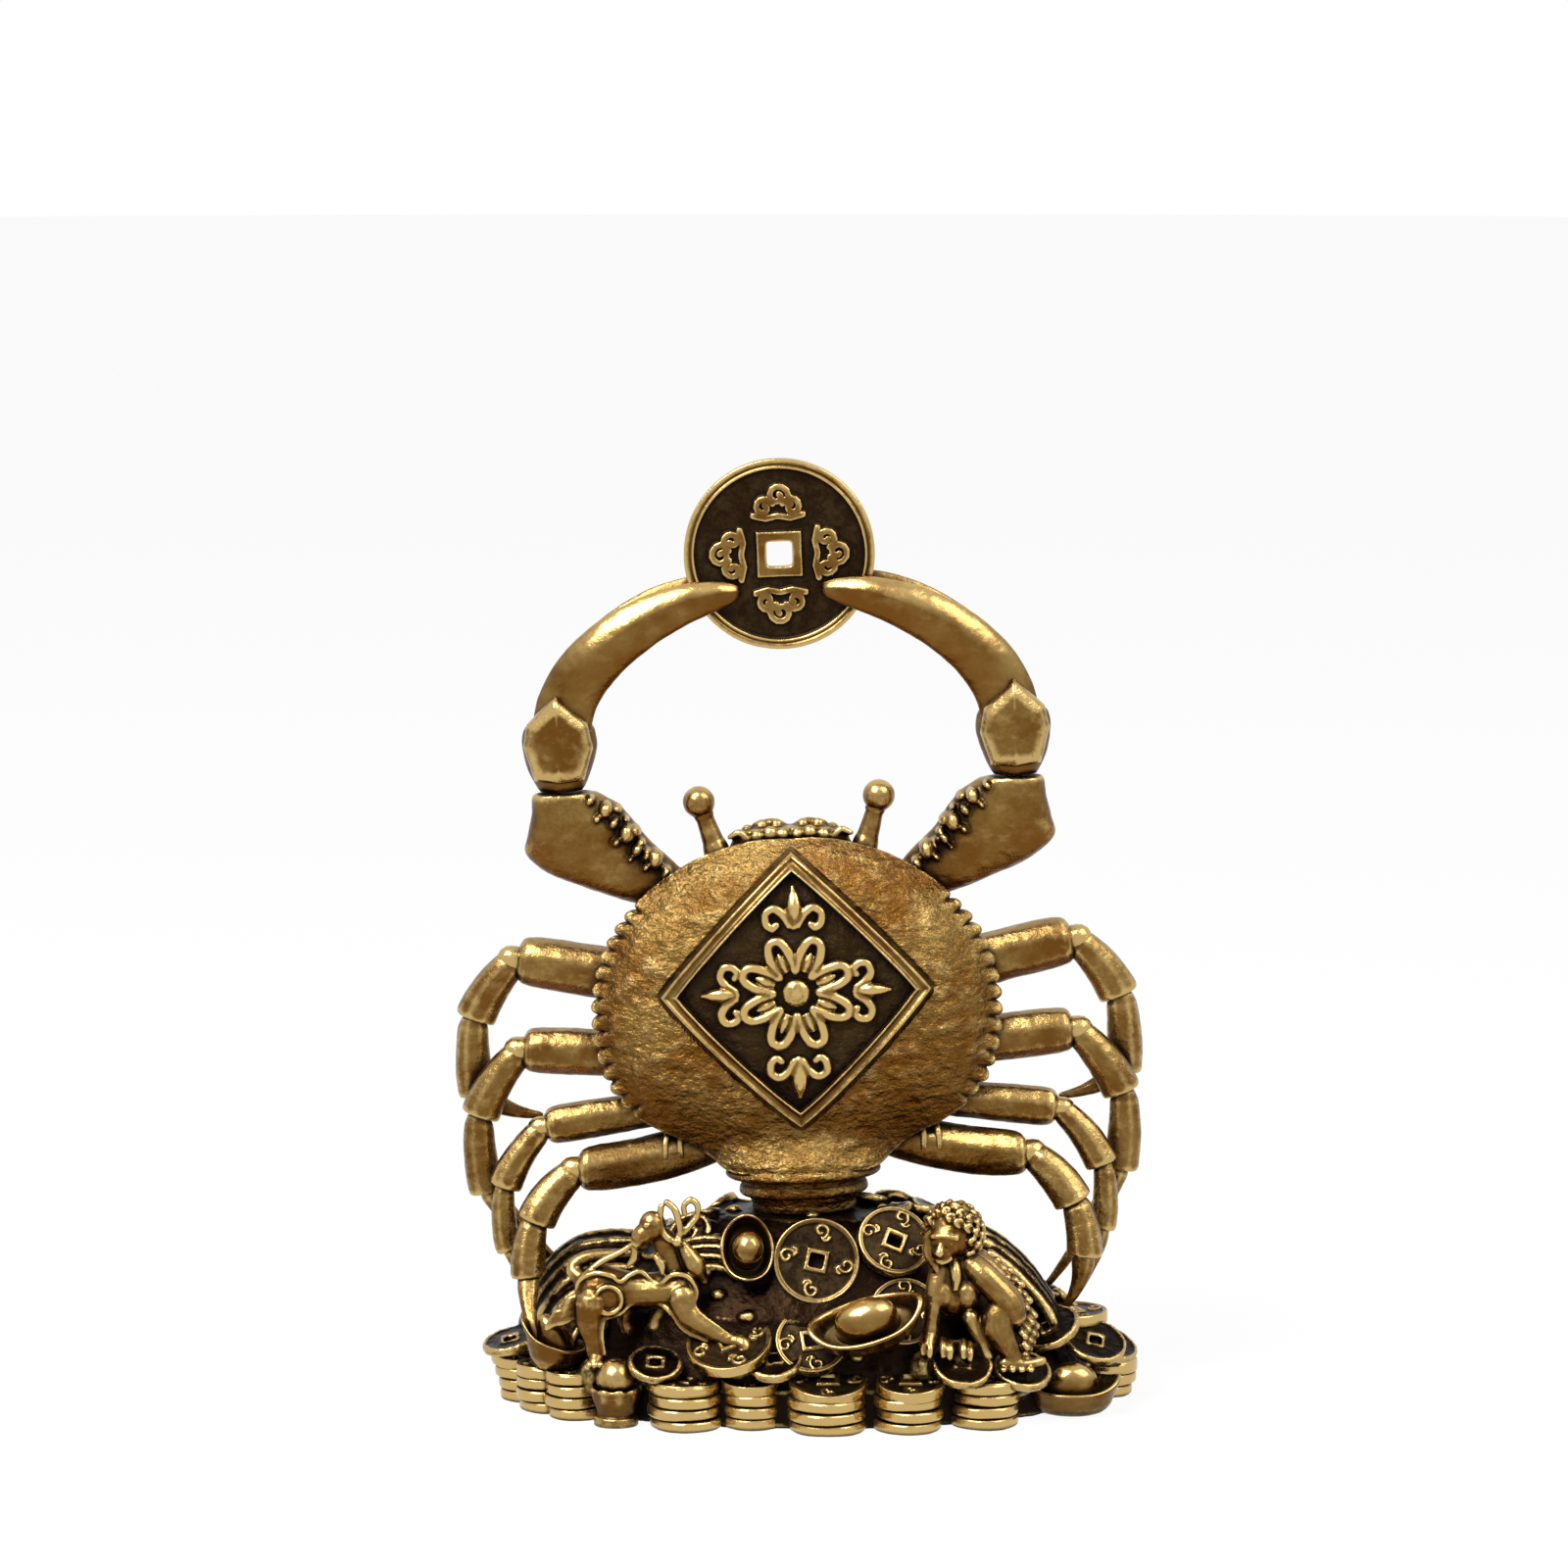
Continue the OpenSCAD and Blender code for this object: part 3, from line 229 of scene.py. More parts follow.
def meshOf(name, shells):
    points, quads, tris, grime = joined(shells)
    mesh = bpy.data.meshes.new(name)
    mesh.from_pydata(points.tolist(), [], quads.tolist() + tris.tolist())
    store(mesh, "grime", grime)
    work = bmesh.new()
    work.from_mesh(mesh)
    bmesh.ops.recalc_face_normals(work, faces=work.faces)
    work.to_mesh(mesh)
    work.free()
    return mesh


# melts overlapping shells into one casting
def fused(name, shells, voxel, relax):
    mesh = meshOf(name, shells)
    raw = newObject(name + "Raw", mesh)
    melt = raw.modifiers.new("melt", "REMESH")
    melt.mode = "VOXEL"
    melt.voxel_size = voxel * 1
    ease = raw.modifiers.new("ease", "SMOOTH")
    ease.factor = 0.5
    ease.iterations = relax
    seen = raw.evaluated_get(bpy.context.evaluated_depsgraph_get())
    result = bpy.data.meshes.new_from_object(seen)
    bpy.data.objects.remove(raw)
    bpy.data.meshes.remove(mesh)
    return result


def pointsOf(mesh):
    p = np.empty(len(mesh.vertices) * 3, np.float32)
    mesh.vertices.foreach_get("co", p)
    return p.reshape(-1, 3).astype(float)


def normalsOf(mesh):
    n = np.empty(len(mesh.vertices) * 3, np.float32)
    mesh.vertex_normals.foreach_get("vector", n)
    return n.reshape(-1, 3)


def setPoints(mesh, points):
    mesh.vertices.foreach_set("co", points.astype(np.float32).ravel())


def roughen(mesh, amount, seed):
    points = pointsOf(mesh)
    lift = 0
    for k, (height, size) in enumerate(casting.values()):
        lift = lift + height * castNoise(points, size, seed + k)
    setPoints(mesh, points + normalsOf(mesh) * (lift * amount)[:, None])


# how far each point stands out of its surroundings, in millimetres, judged over reach
def standOut(mesh, reach):
    points = pointsOf(mesh)
    n = len(points)
    pairs = np.empty(len(mesh.edges) * 2, np.int32)
    mesh.edges.foreach_get("vertices", pairs)
    a, b = pairs[::2], pairs[1::2]
    length = np.linalg.norm(points[a] - points[b], axis=1)
    weight = 1 / np.maximum(length, 0.05)
    total = np.bincount(a, weight, n) + np.bincount(b, weight, n)
    soft = points.copy()
    rounds = int(np.clip(round(2 * (reach / length.mean()) ** 2), 1, 40))
    for k in range(rounds):
        near = [
            np.bincount(a, weight * soft[b, i], n) + np.bincount(b, weight * soft[a, i], n)
            for i in range(3)
        ]
        soft = soft * 0.4 + 0.6 * np.column_stack(near) / total[:, None]
    return ((points - soft) * normalsOf(mesh)).sum(axis=1)


crestReach = 0.42
crestHeight = 0.1


# puts a mesh in millimetres into the scene as a piece of the object
def addPiece(name, mesh, finish, slot, *replaced, rough, seed):
    store(mesh, "crest", np.clip(standOut(mesh, crestReach) / crestHeight, -2, 2))
    roughen(mesh, rough, seed)
    setPoints(mesh, np.clip(pointsOf(mesh), boxLow, boxHigh))
    mesh.transform(Matrix.Scale(0.001, 4))
    mesh.polygons.foreach_set("use_smooth", np.ones(len(mesh.polygons), bool))
    mesh.materials.clear()
    mesh.materials.append(finish)
    mesh.name = name
    piece = newObject(name, mesh)
    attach(piece, "root")
    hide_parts(*replaced)


# one casting from shells, melted together where a voxel size is given
def cast(name, shells, finish, slot, node, rough, seed, voxel=None, relax=2):
    mesh = fused(name, shells, voxel, relax) if voxel else meshOf(name, shells)
    addPiece(name, mesh, finishes[finish], slot, node, rough=rough, seed=seed)


# loose and ledge_coin make looseLedgeCoin
def pieceName(start, node):
    return start + "".join(word.capitalize() for word in node.split("_"))


# finishes
class Wire:
    # one socket of a finish, with arithmetic that adds Math nodes
    def __init__(self, finish, socket):
        self.finish = finish
        self.socket = socket

    def __add__(self, other):
        return self.finish.math("ADD", self, other)

    def __radd__(self, other):
        return self.finish.math("ADD", other, self)

    def __sub__(self, other):
        return self.finish.math("SUBTRACT", self, other)

    def __rsub__(self, other):
        return self.finish.math("SUBTRACT", other, self)

    def __mul__(self, other):
        return self.finish.math("MULTIPLY", self, other)

    def __rmul__(self, other):
        return self.finish.math("MULTIPLY", other, self)


class Finish:
    # a node tree under construction
    def __init__(self, tree):
        self.tree = tree
        tree.nodes.clear()

    def node(self, kind, settings=None, inputs=None, output=0):
        made = self.tree.nodes.new("ShaderNode" + kind)
        for key, value in (settings or {}).items():
            setattr(made, key, value)
        for key, value in (inputs or {}).items():
            if isinstance(value, Wire):
                self.tree.links.new(value.socket, made.inputs[key])
            else:
                made.inputs[key].default_value = value
        return Wire(self, made.outputs[output]) if len(made.outputs) else None

    def math(self, operation, *values):
        return self.node("Math", dict(operation=operation), dict(enumerate(values)))

    # start to end as value goes from low to high
    def between(self, value, low, high, start=0.0, end=1.0):
        steps = dict(interpolation_type="SMOOTHSTEP")
        return self.node("MapRange", steps, {0: value, 1: low, 2: high, 3: start, 4: end})

    def blend(self, share, a, b):
        return self.node("Mix", dict(data_type="RGBA"), {0: share, 6: a, 7: b}, 2)

    # scale in waves to a unit of place
    def noise(self, place, scale, detail, roughness=0.55):
        return self.node("TexNoise", None, {
            "Vector": place, "Scale": scale, "Detail": detail, "Roughness": roughness
        })

    # the piece's own coordinates in millimetres
    def place(self):
        metres = self.node("TexCoord", output=3)
        return self.node("VectorMath", dict(operation="SCALE"), {0: metres, "Scale": 1000.0})

    def stretched(self, place, by):
        return self.node("VectorMath", dict(operation="MULTIPLY"), {0: place, 1: by})

    def nearness(self, reach):
        return self.node("AmbientOcclusion", dict(samples=8), {"Distance": reach}, 1)

    def attribute(self, name):
        return self.node("Attribute", dict(attribute_name=name), output=2)

    def bump(self, strength, distance, height):
        return self.node("Bump", None, {"Strength": strength, "Distance": distance, "Height": height})

    def metal(self, colour, rough, metallic, bump):
        shader = self.node("BsdfPrincipled", None, {
            "Base Color": colour, "Roughness": rough, "Metallic": metallic, "Normal": bump
        })
        self.node("OutputMaterial", None, {"Surface": shader})


def newFinish(name):
    material = bpy.data.materials.new(name)
    material.use_nodes = True
    return material, Finish(material.node_tree)


# tones are linear colours
brassTones = dict(
    deep=(0.0085, 0.0042, 0.0022, 1),
    umber=(0.058, 0.025, 0.0085, 1),
    amber=(0.165, 0.063, 0.0085, 1),
    body=(0.138, 0.062, 0.0115, 1),
    gold=(0.24, 0.142, 0.038, 1),
    # worn tone: rubbed brass on edges and streaks, also used as painted light on tops and painted highlight
    # on edges
    worn=(0.58, 0.4, 0.15, 1),
)
# waves to a millimetre, detail and roughness of each noise
brassNoises = dict(
    clouds=(0.13, 3.0), mottle=(0.75, 3.0), speck=(2.6, 3.0, 0.65), fine=(8.0, 1.0), strokes=(0.7, 4.0, 0.6)
)
strokeStretch = (0.6, 0.7, 1.05)
# where each mask starts and where it is full
brassMasks = dict(
    edge=(0.3, 1.25), crease=(0.12, 0.7), hollow=(0.42, 0.97), shade=(0.25, 0.9), under=(-0.75, 0.15),
    side=(0.2, 0.85), grime=(0.44, 0.6), gold=(0.4, 0.6), lit=(0.0, 0.8), strokes=(0.48, 0.72),
    amber=(0.5, 0.68), stain=(0.4, 0.75), tarnish=(0.1, 1.1),
)
shadeReach = 0.005
bumpDepth = 0.00016


# layers of tone over the body: painted light on tops and random streaks and patches, then painted shade on
# undersides, on sides and near other parts, then stains, worn edges that also stand in for highlights,
# settled dirt, creases and hollows
def brassFinish(name, edgeWearAndSheen, dark, grain, gloss, sides, paintedTopLight, patchy, low, stain=0.0, reach=1.2, wear=1.0):
    material, f = newFinish(name)
    place = f.place()

    def mask(kind, value, by=1.0, ends=(0.0, 1.0)):
        start, full = brassMasks[kind]
        return f.between(value, start / by, full / by, *ends)

    def drift(source, share):
        return (source - 0.5) * share

    clouds = f.noise(place, *brassNoises["clouds"])
    mottle = f.noise(place, *brassNoises["mottle"])
    speck = f.noise(place, *brassNoises["speck"])
    fine = f.noise(place, *brassNoises["fine"])
    strokes = f.noise(f.stretched(place, strokeStretch), *brassNoises["strokes"])
    facing = f.node("NewGeometry", output=1)
    depthWays = f.node("SeparateXYZ", None, {0: facing}, 1)
    upward = f.node("SeparateXYZ", None, {0: facing}, 2)
    settled = f.attribute("grime")
    crest = f.attribute("crest")
    # edges: wear rubbed bright on raised crests, made bright enough to stand in for highlights too, so partly
    # painted highlight
    edge = mask("edge", crest + drift(mottle, 0.8) + drift(speck, 0.6), wear) * (1 - settled)
    crease = mask("crease", 0 - crest + drift(speck, 0.3))
    hollow = 1 - mask("hollow", f.nearness(0.001 * reach) + drift(speck, 0.2))
    shade = 1 - mask("shade", f.nearness(shadeReach) + drift(mottle, 0.2))
    # painted shade: faces that point down are darkened towards amber, scaled by low
    under = 1 - mask("under", upward + drift(clouds, 0.5))
    # painted shade: faces turned sideways, neither to the front, back nor up, are darkened to umber, scaled
    # by sides
    facesFrontOrUp = f.math("MAXIMUM", f.math("ABSOLUTE", depthWays), upward * 1.1)
    side = 1 - mask("side", facesFrontOrUp + drift(mottle, 0.3))
    grime = mask("grime", speck * 0.5 + mottle * 0.5)
    # painted light: faces that point up are lightened to the worn tone, as if lit from above
    lit = mask("lit", upward + drift(mottle, 0.12) + drift(clouds, 0.5))
    layers = [
        (lit * paintedTopLight, "worn"),
        (mask("strokes", strokes) * patchy, "worn"),
        (grime * patchy, "umber"),
        (mask("amber", 1 - clouds + drift(mottle, 0.4)) * patchy, "amber"),
        (under * low, "amber"),
        (side * sides, "umber"),
        (shade * (0.5 + 0.5 * dark), "umber"),
    ]
    if stain:
        layers.append((mask("stain", mottle * 0.5 + speck * 0.5, ends=(stain, stain - 0.04)), "deep"))
    layers += [
        (edge * (0.3 + 0.7 * edgeWearAndSheen), "worn"),
        (settled * (1 - grime * 0.08), "deep"),
        (crease * (0.4 + 0.4 * dark), "deep"),
        (hollow * (0.75 + 0.25 * dark), "deep"),
    ]
    colour = f.blend(mask("gold", clouds * 0.75 + mottle * 0.25), brassTones["body"], brassTones["gold"])
    for share, tone in layers:
        colour = f.blend(share, colour, brassTones[tone])
    tarnish = mask("tarnish", hollow * 0.8 + shade * 0.45 + grime * 0.25 + settled * 0.6)
    rough = gloss + tarnish * 0.25 + drift(speck, 0.12) - edge * 0.06
    relief = speck * 0.3 + fine * 0.1 + mottle * 0.7 + strokes * (1 - settled) * 1.5
    f.metal(colour, rough, 1 - tarnish * 0.08, f.bump(1.0, bumpDepth * grain, relief))
    return material


# shares of polished edges (wear with painted highlight), dark hollows and painted shade near other parts,
# grain, umber painted shade on sides, painted light on tops, patches and amber painted shade on undersides
brasses = dict(
    shellBrass=dict(
        edgeWearAndSheen=0.7, dark=0.8, grain=3.0, gloss=0.28, sides=0.65, paintedTopLight=0.12, patchy=0.46, low=1.0, wear=1.5
    ),
    fieldBrass=dict(
        edgeWearAndSheen=1.0, dark=0.5, grain=0.25, gloss=0.24, sides=0.35, paintedTopLight=0.35, patchy=0.2, low=0.5, wear=1.7
    ),
    legBrass=dict(
        edgeWearAndSheen=0.85, dark=0.75, grain=0.7, gloss=0.27, sides=0.92, paintedTopLight=0.4, patchy=0.32, low=0.95, wear=1.3
    ),
    # painted light: a copy of the brass with the strongest painted top light, for the front fingers, eyes and
    # pearl
    brightBrass=dict(
        edgeWearAndSheen=0.95, dark=0.5, grain=0.3, gloss=0.22, sides=0.95, paintedTopLight=1.0, patchy=0.2, low=0.95
    ),
    beastBrass=dict(
        edgeWearAndSheen=0.95, dark=0.7, grain=0.4, gloss=0.23, sides=0.95, paintedTopLight=0.45, patchy=0.3, low=0.95
    ),
    boatBrass=dict(
        edgeWearAndSheen=1.0, dark=0.1, grain=0.25, gloss=0.2, sides=0.12, paintedTopLight=0.9, patchy=0.15, low=0.12
    ),
    coinBrass=dict(
        edgeWearAndSheen=0.95, dark=0.6, grain=0.4, gloss=0.25, sides=0.5, paintedTopLight=0.5, patchy=0.14, low=0.4,
        reach=0.6, wear=1.3
    ),
    heapBrass=dict(
        edgeWearAndSheen=0.85, dark=1.0, grain=0.8, gloss=0.3, sides=0.9, paintedTopLight=0.2, patchy=0.4, low=0.8,
        stain=1.0, wear=1.6
    ),
)
finishes = {name: brassFinish(name, **shares) for name, shares in brasses.items()}
print("finishes ready")

steelTones = ((0.42, 0.41, 0.39, 1), (0.2, 0.185, 0.165, 1))


# turned steel: fine lines round the screw, with dull spots
def steelFinish(name):
    material, f = newFinish(name)
    place = f.place()
    lines = f.noise(f.stretched(place, (1, 1, 9)), 1.4, 3.0)
    spots = f.noise(place, 0.9, 3.0)
    colour = f.blend(f.between(spots, 0.4, 0.7), *steelTones)
    f.metal(colour, 0.28 + lines * 0.3, 1.0, f.bump(0.5, 0.00003, lines))
    return material


nodes["foot_screw"].data.materials.clear()
nodes["foot_screw"].data.materials.append(steelFinish("screwSteel"))

# the crab's own frame: across, depth and height over the foot, leaning to the left
crab = dict(foot=(0.6, 0, 20), lean=2.2)
leanSin = math.sin(math.radians(crab["lean"]))
leanCos = math.cos(math.radians(crab["lean"]))


def crabPlace(p):
    p = np.asarray(p, float)
    u, v, w = p[..., 0], p[..., 1], p[..., 2]
    return ringOf(u * leanCos - w * leanSin, v, u * leanSin + w * leanCos) + np.array(crab["foot"])


# crabPlace the other way
def crabPoint(p):
    u, v, w = np.asarray(p, float) - np.array(crab["foot"])
    return np.array([u * leanCos + w * leanSin, v, -u * leanSin + w * leanCos])


def onCrab(shells, side=1):
    flip = np.array([side, 1, 1])
    return [moved(s, lambda p: crabPlace(p * flip)) for s in shells]


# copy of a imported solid, in millimetres
def solidShell(name):
    mesh = nodes[name].data
    points = pointsOf(mesh) * 1000
    mesh.calc_loop_triangles()
    tris = np.empty(len(mesh.loop_triangles) * 3, np.int32)
    mesh.loop_triangles.foreach_get("vertices", tris)
    return points, np.zeros((0, 4), int), tris.reshape(-1, 3).astype(int), np.zeros(len(points))


# shell, with a row of scallops down each side and a sunk diamond
shell = dict(
    middle=24.2, edge=1.0, rise=4.6, teeth=15, toothDepth=0.85, toothFrom=-40, toothTo=33,
    fieldDepth=0.55, diamondHalfW=14.3, diamondHalfH=14.6, diamondPower=1.07,
    hammer=((0.13, 2.6), (0.1, 1.2), (0.045, 0.6)), neckTop=10.2, neckHalf=9.6, neckDepth=-5.1,
    around=900, radial=104,
)
shellOutline = [
    (0, 39.9), (7.2, 39.1), (12.4, 36.9), (15.9, 34.3), (18.8, 31.3), (20.5, 28.3), (21.5, 24.7),
    (21.7, 20.6), (21.2, 16.9), (20, 13.7), (17.6, 10.9), (14.8, 9.2), (12.4, 8.2), (10.3, 6.9),
    (8.9, 5.6), (7.9, 4.9), (4.2, 4.75), (0, 4.7),
]


# radius of the outline in each direction, and the direction folded to one side
def shellRadius(a):
    rows = np.array(shellOutline, float)
    d = rows - (0, shell["middle"])
    angle = np.degrees(np.arctan2(d[:, 1], d[:, 0]))[::-1]
    radius = np.linalg.norm(d, axis=1)[::-1]
    folded = np.degrees(np.arcsin(np.clip(np.sin(a), -1, 1)))
    r = sum(np.interp(folded + k, angle, radius) for k in (-3, -1.5, 0, 1.5, 3)) / 5
    return r, folded


# wave of the scallops, and 1 where there are any
def toothPhase(folded):
    span = (folded - shell["toothFrom"]) / (shell["toothTo"] - shell["toothFrom"])
    inside = smoothStep(span * 12) * smoothStep((1 - span) * 12)
    return np.abs(np.sin(math.pi * span * shell["teeth"])), inside


# depth of the shell's smooth dome
def domeDepth(u, w):
    a = np.arctan2(w - shell["middle"], u)
    r = np.hypot(u, w - shell["middle"])
    rho = np.minimum(r / shellRadius(a)[0], 1)
    return -shell["edge"] - shell["rise"] * (1 - rho**4)


# 1 on the diamond's outline, less inside it
def diamondShare(u, w):
    p = shell["diamondPower"]
    across = np.abs(u / shell["diamondHalfW"]) ** p
    up = np.abs((w - shell["middle"]) / shell["diamondHalfH"]) ** p
    return (across + up) ** (1 / p)


# points and grime of one ring of the shell's front, at share s of the way out
def shellRing(s, a, full, rim, wave, inside):
    n = len(a)
    r = full * s - (full - rim) * smoothStep((s - 0.9) / 0.1)
    u, w = r * np.cos(a), shell["middle"] + r * np.sin(a)
    v = np.full(n, -shell["edge"] - shell["rise"] * (1 - s**4))
    away = (1 - s) * full
    v -= 0.35 * np.exp(-((away / 1.1) ** 2)) * inside * wave
    v += 0.1 * np.exp(-(((away - 1.6) / 0.6) ** 2)) * inside
    neck = smoothStep((shell["neckTop"] - w) / 5)
    neckDepth = shell["neckDepth"] * np.sqrt(np.clip(1 - (u / shell["neckHalf"]) ** 2, 0, 1))
    v = np.minimum(v, v * (1 - neck) + neckDepth * neck)
    share = diamondShare(u, w)
    field = smoothStep((0.955 - share) / 0.02)
    v += shell["fieldDepth"] * field
    flow = ringOf(u * 0.8 + w * 0.25, w * 0.75 - u * 0.3, 3.0)
    hammer = sum(h * castNoise(flow, size, 5 + k) for k, (h, size) in enumerate(shell["hammer"]))
    v += hammer * (1 - field * 0.6)
    outside = smoothStep((share - 0.98) / 0.02) * smoothStep((1.045 - share) / 0.03)
    groove = 0.15 * np.exp(-(((away - 1.6) / 0.5) ** 2)) * inside
    return ringOf(u, v, w), np.clip(field * 0.9 + outside * 0.75 + groove, 0, 1)


def buildShell():
    a = fullTurn(shell["around"])
    full, folded = shellRadius(a)
    wave, inside = toothPhase(folded)
    rim = full - shell["toothDepth"] * inside * (1 - wave**0.55)
    shares = np.linspace(0.012, 1, shell["radial"]) ** 0.92
    rings, settled = zip(*(shellRing(s, a, full, rim, wave, inside) for s in shares))
    rings = list(rings)
    edgeDepth = rings[-1][:, 1]
    for inset, share in ((0.16, 0.72), (0.1, 0.35), (0.35, 0.0)):
        r = rim - inset
        rings.append(ringOf(r * np.cos(a), edgeDepth * share, shell["middle"] + r * np.sin(a)))
    for share in (0.85, 0.5, 0.02):
        r = rim * share
        rings.append(ringOf(r * np.cos(a), 0.0, shell["middle"] + r * np.sin(a)))
    points, quads, tris, grime = skin(rings)
    grime[: len(a) * len(settled)] = np.concatenate(settled)
    grime[-2] = 0.9
    cast("crabShell", onCrab([(points, quads, tris, grime)]), "shellBrass", "shell_brass", "carapace", 0.9, 3)


buildShell()

plaque = dict(bandWidth=0.138, around=480, steps=46)
# share of the band's width and height over the shell
plaqueProfile = [
    (0.0, -0.6), (0.0, 0.25), (0.05, 0.6), (0.13, 0.78), (0.24, 0.76), (0.36, 0.6), (0.48, 0.5), (0.6, 0.52),
    (0.7, 0.64), (0.8, 0.82), (0.89, 0.84), (0.96, 0.6), (1.0, 0.2), (1.0, -0.75), (0.5, -0.8),
]


def buildFrame():
    a = fullTurn(plaque["around"])
    reach = 1 / diamondShare(np.cos(a), shell["middle"] + np.sin(a))
    rows = np.array(plaqueProfile)
    closed = np.vstack([rows, rows[:1]])
    steps = np.linspace(0, len(rows), plaque["steps"], endpoint=False)
    rings = []
    settled = []
    for s, up in zip(*(np.interp(steps, np.arange(len(closed)), closed[:, i]) for i in (0, 1))):
        r = reach * (1 - plaque["bandWidth"] * s)
        u, w = r * np.cos(a), shell["middle"] + r * np.sin(a)
        rings.append(ringOf(u, domeDepth(u, w) - up, w))
        settled.append(np.full(len(a), max(0.0, 1 - max(up, 0) / 0.22) * 0.9))
    points, quads, tris, grime = hoop(rings)
    band = (points, quads, tris, np.concatenate(settled))
    cast("plaqueFrame", onCrab([band]), "fieldBrass", "bright_brass", "plaque_frame", 0.4, 8)


buildFrame()

# flower in the field: petals and leaf scrolls drawn as raised strokes
flower = dict(
    petals=8, petalOut=5.9, petalIn=2.3, petalHalf=1.3, stroke=0.56, boss=1.5, leaves=4, longLeaf=1.13,
    scrollOut=(6.4, 7.3, 7.9, 7.5, 6.6, 6.1, 6.4), scrollAside=(0.4, 1.0, 2.0, 2.9, 2.9, 2.3, 1.8),
    scrollThick=(0.5, 0.54, 0.54, 0.52, 0.5, 0.46, 0.4), leafOut=(6.3, 7.6, 8.8, 9.8),
    leafThick=(0.5, 0.95, 0.8, 0.3), veinThick=(0.34, 0.5, 0.46, 0.25),
)


# point of the field, lifted over it, for x along the direction a and y across it
def fieldPoint(x, y, a, lift):
    x, y = np.asarray(x, float), np.asarray(y, float)
    u = x * math.cos(a) - y * math.sin(a)
    w = x * math.sin(a) + y * math.cos(a) + shell["middle"]
    return ringOf(u, domeDepth(u, w) + shell["fieldDepth"] - lift, w)


def buildFlower():
    f = flower
    boss = lump((0, 0, 0), (f["boss"], 0.9, f["boss"]))
    shells = [moved(boss, lambda p: p + fieldPoint([0], [0], 0, 0.3))]
    t = np.linspace(-1, 1, 15)
    for k in range(f["petals"]):
        a = 2 * math.pi * (k + 0.5) / f["petals"]
        along = f["petalIn"] + (f["petalOut"] - f["petalIn"]) * (1 - np.abs(t) ** 2.2)
        wide = f["petalHalf"] * np.sin(t * math.pi / 2 * 1.15) * (1 - 0.25 * np.abs(t))
        shells.append(rod(fieldPoint(along, wide, a, 0.28), f["stroke"], count=40))
        vein = np.linspace(2.6, 4.4, 4)
        shells.append(rod(fieldPoint(vein, 0, a, 0.2), f["veinThick"]))
    for k in range(f["leaves"]):
        a = math.pi / 2 * k
        reach = f["longLeaf"] if k % 2 else 1.0
        for side in (-1, 1):
            x, y = np.array(f["scrollOut"]) * reach, side * np.array(f["scrollAside"])
            shells.append(rod(fieldPoint(x, y, a, 0.26), f["scrollThick"], count=44))
        leaf = np.array(f["leafOut"]) * reach
        shells.append(rod(fieldPoint(leaf, 0, a, 0.28), f["leafThick"], count=24, flat=0.8))
    cast("plaqueFlower", onCrab(shells), "fieldBrass", "bright_brass", "plaque_flower", 0.6, 11, 0.12)


buildFlower()
print("shell, frame and flower built")


# coins

# spiral stroke between two radii and two angles
def curl(cx, cy, fromR, toR, fromA, toA, count=14):
    t = np.linspace(0, 1, count)
    r = fromR + (toR - fromR) * t
    a = np.radians(fromA + (toA - fromA) * t)
    return np.column_stack([cx + r * np.cos(a), cy + r * np.sin(a)])


# three curls over a wavy line
def cloudStrokes(size):
    strokes = [
        curl(0, 0.45, 1.0, 0.2, -40, 400),
        curl(-1.15, -0.45, 0.8, 0.2, 20, 420),
        curl(1.15, -0.45, 0.8, 0.2, 160, -240),
        np.array([(-2.0, -1.1), (-1, -1.35), (0, -1.15), (1, -1.35), (2.0, -1.1)]),
    ]
    return [s * size for s in strokes]


# a curl with a short tail
def leafStrokes(size):
    return [
        curl(-0.15, 0.3, 0.85, 0.25, -70, 300),
        np.array([(0.1, -0.55), (0.5, -0.9), (1.0, -0.75), (1.2, -0.3)]) * size,
    ]


# 1 where a point lies on a stroke, falling to 0 past its width
def strokeShare(x, y, strokes, width, soft):
    best = np.full(x.shape, 1e9)
    for s in strokes:
        for (ax, ay), (bx, by) in zip(s[:-1], s[1:]):
            dx, dy = bx - ax, by - ay
            t = np.clip(((x - ax) * dx + (y - ay) * dy) / (dx * dx + dy * dy + 1e-9), 0, 1)
            best = np.minimum(best, np.hypot(x - ax - t * dx, y - ay - t * dy))
    return smoothStep((width - best) / soft + 0.5)


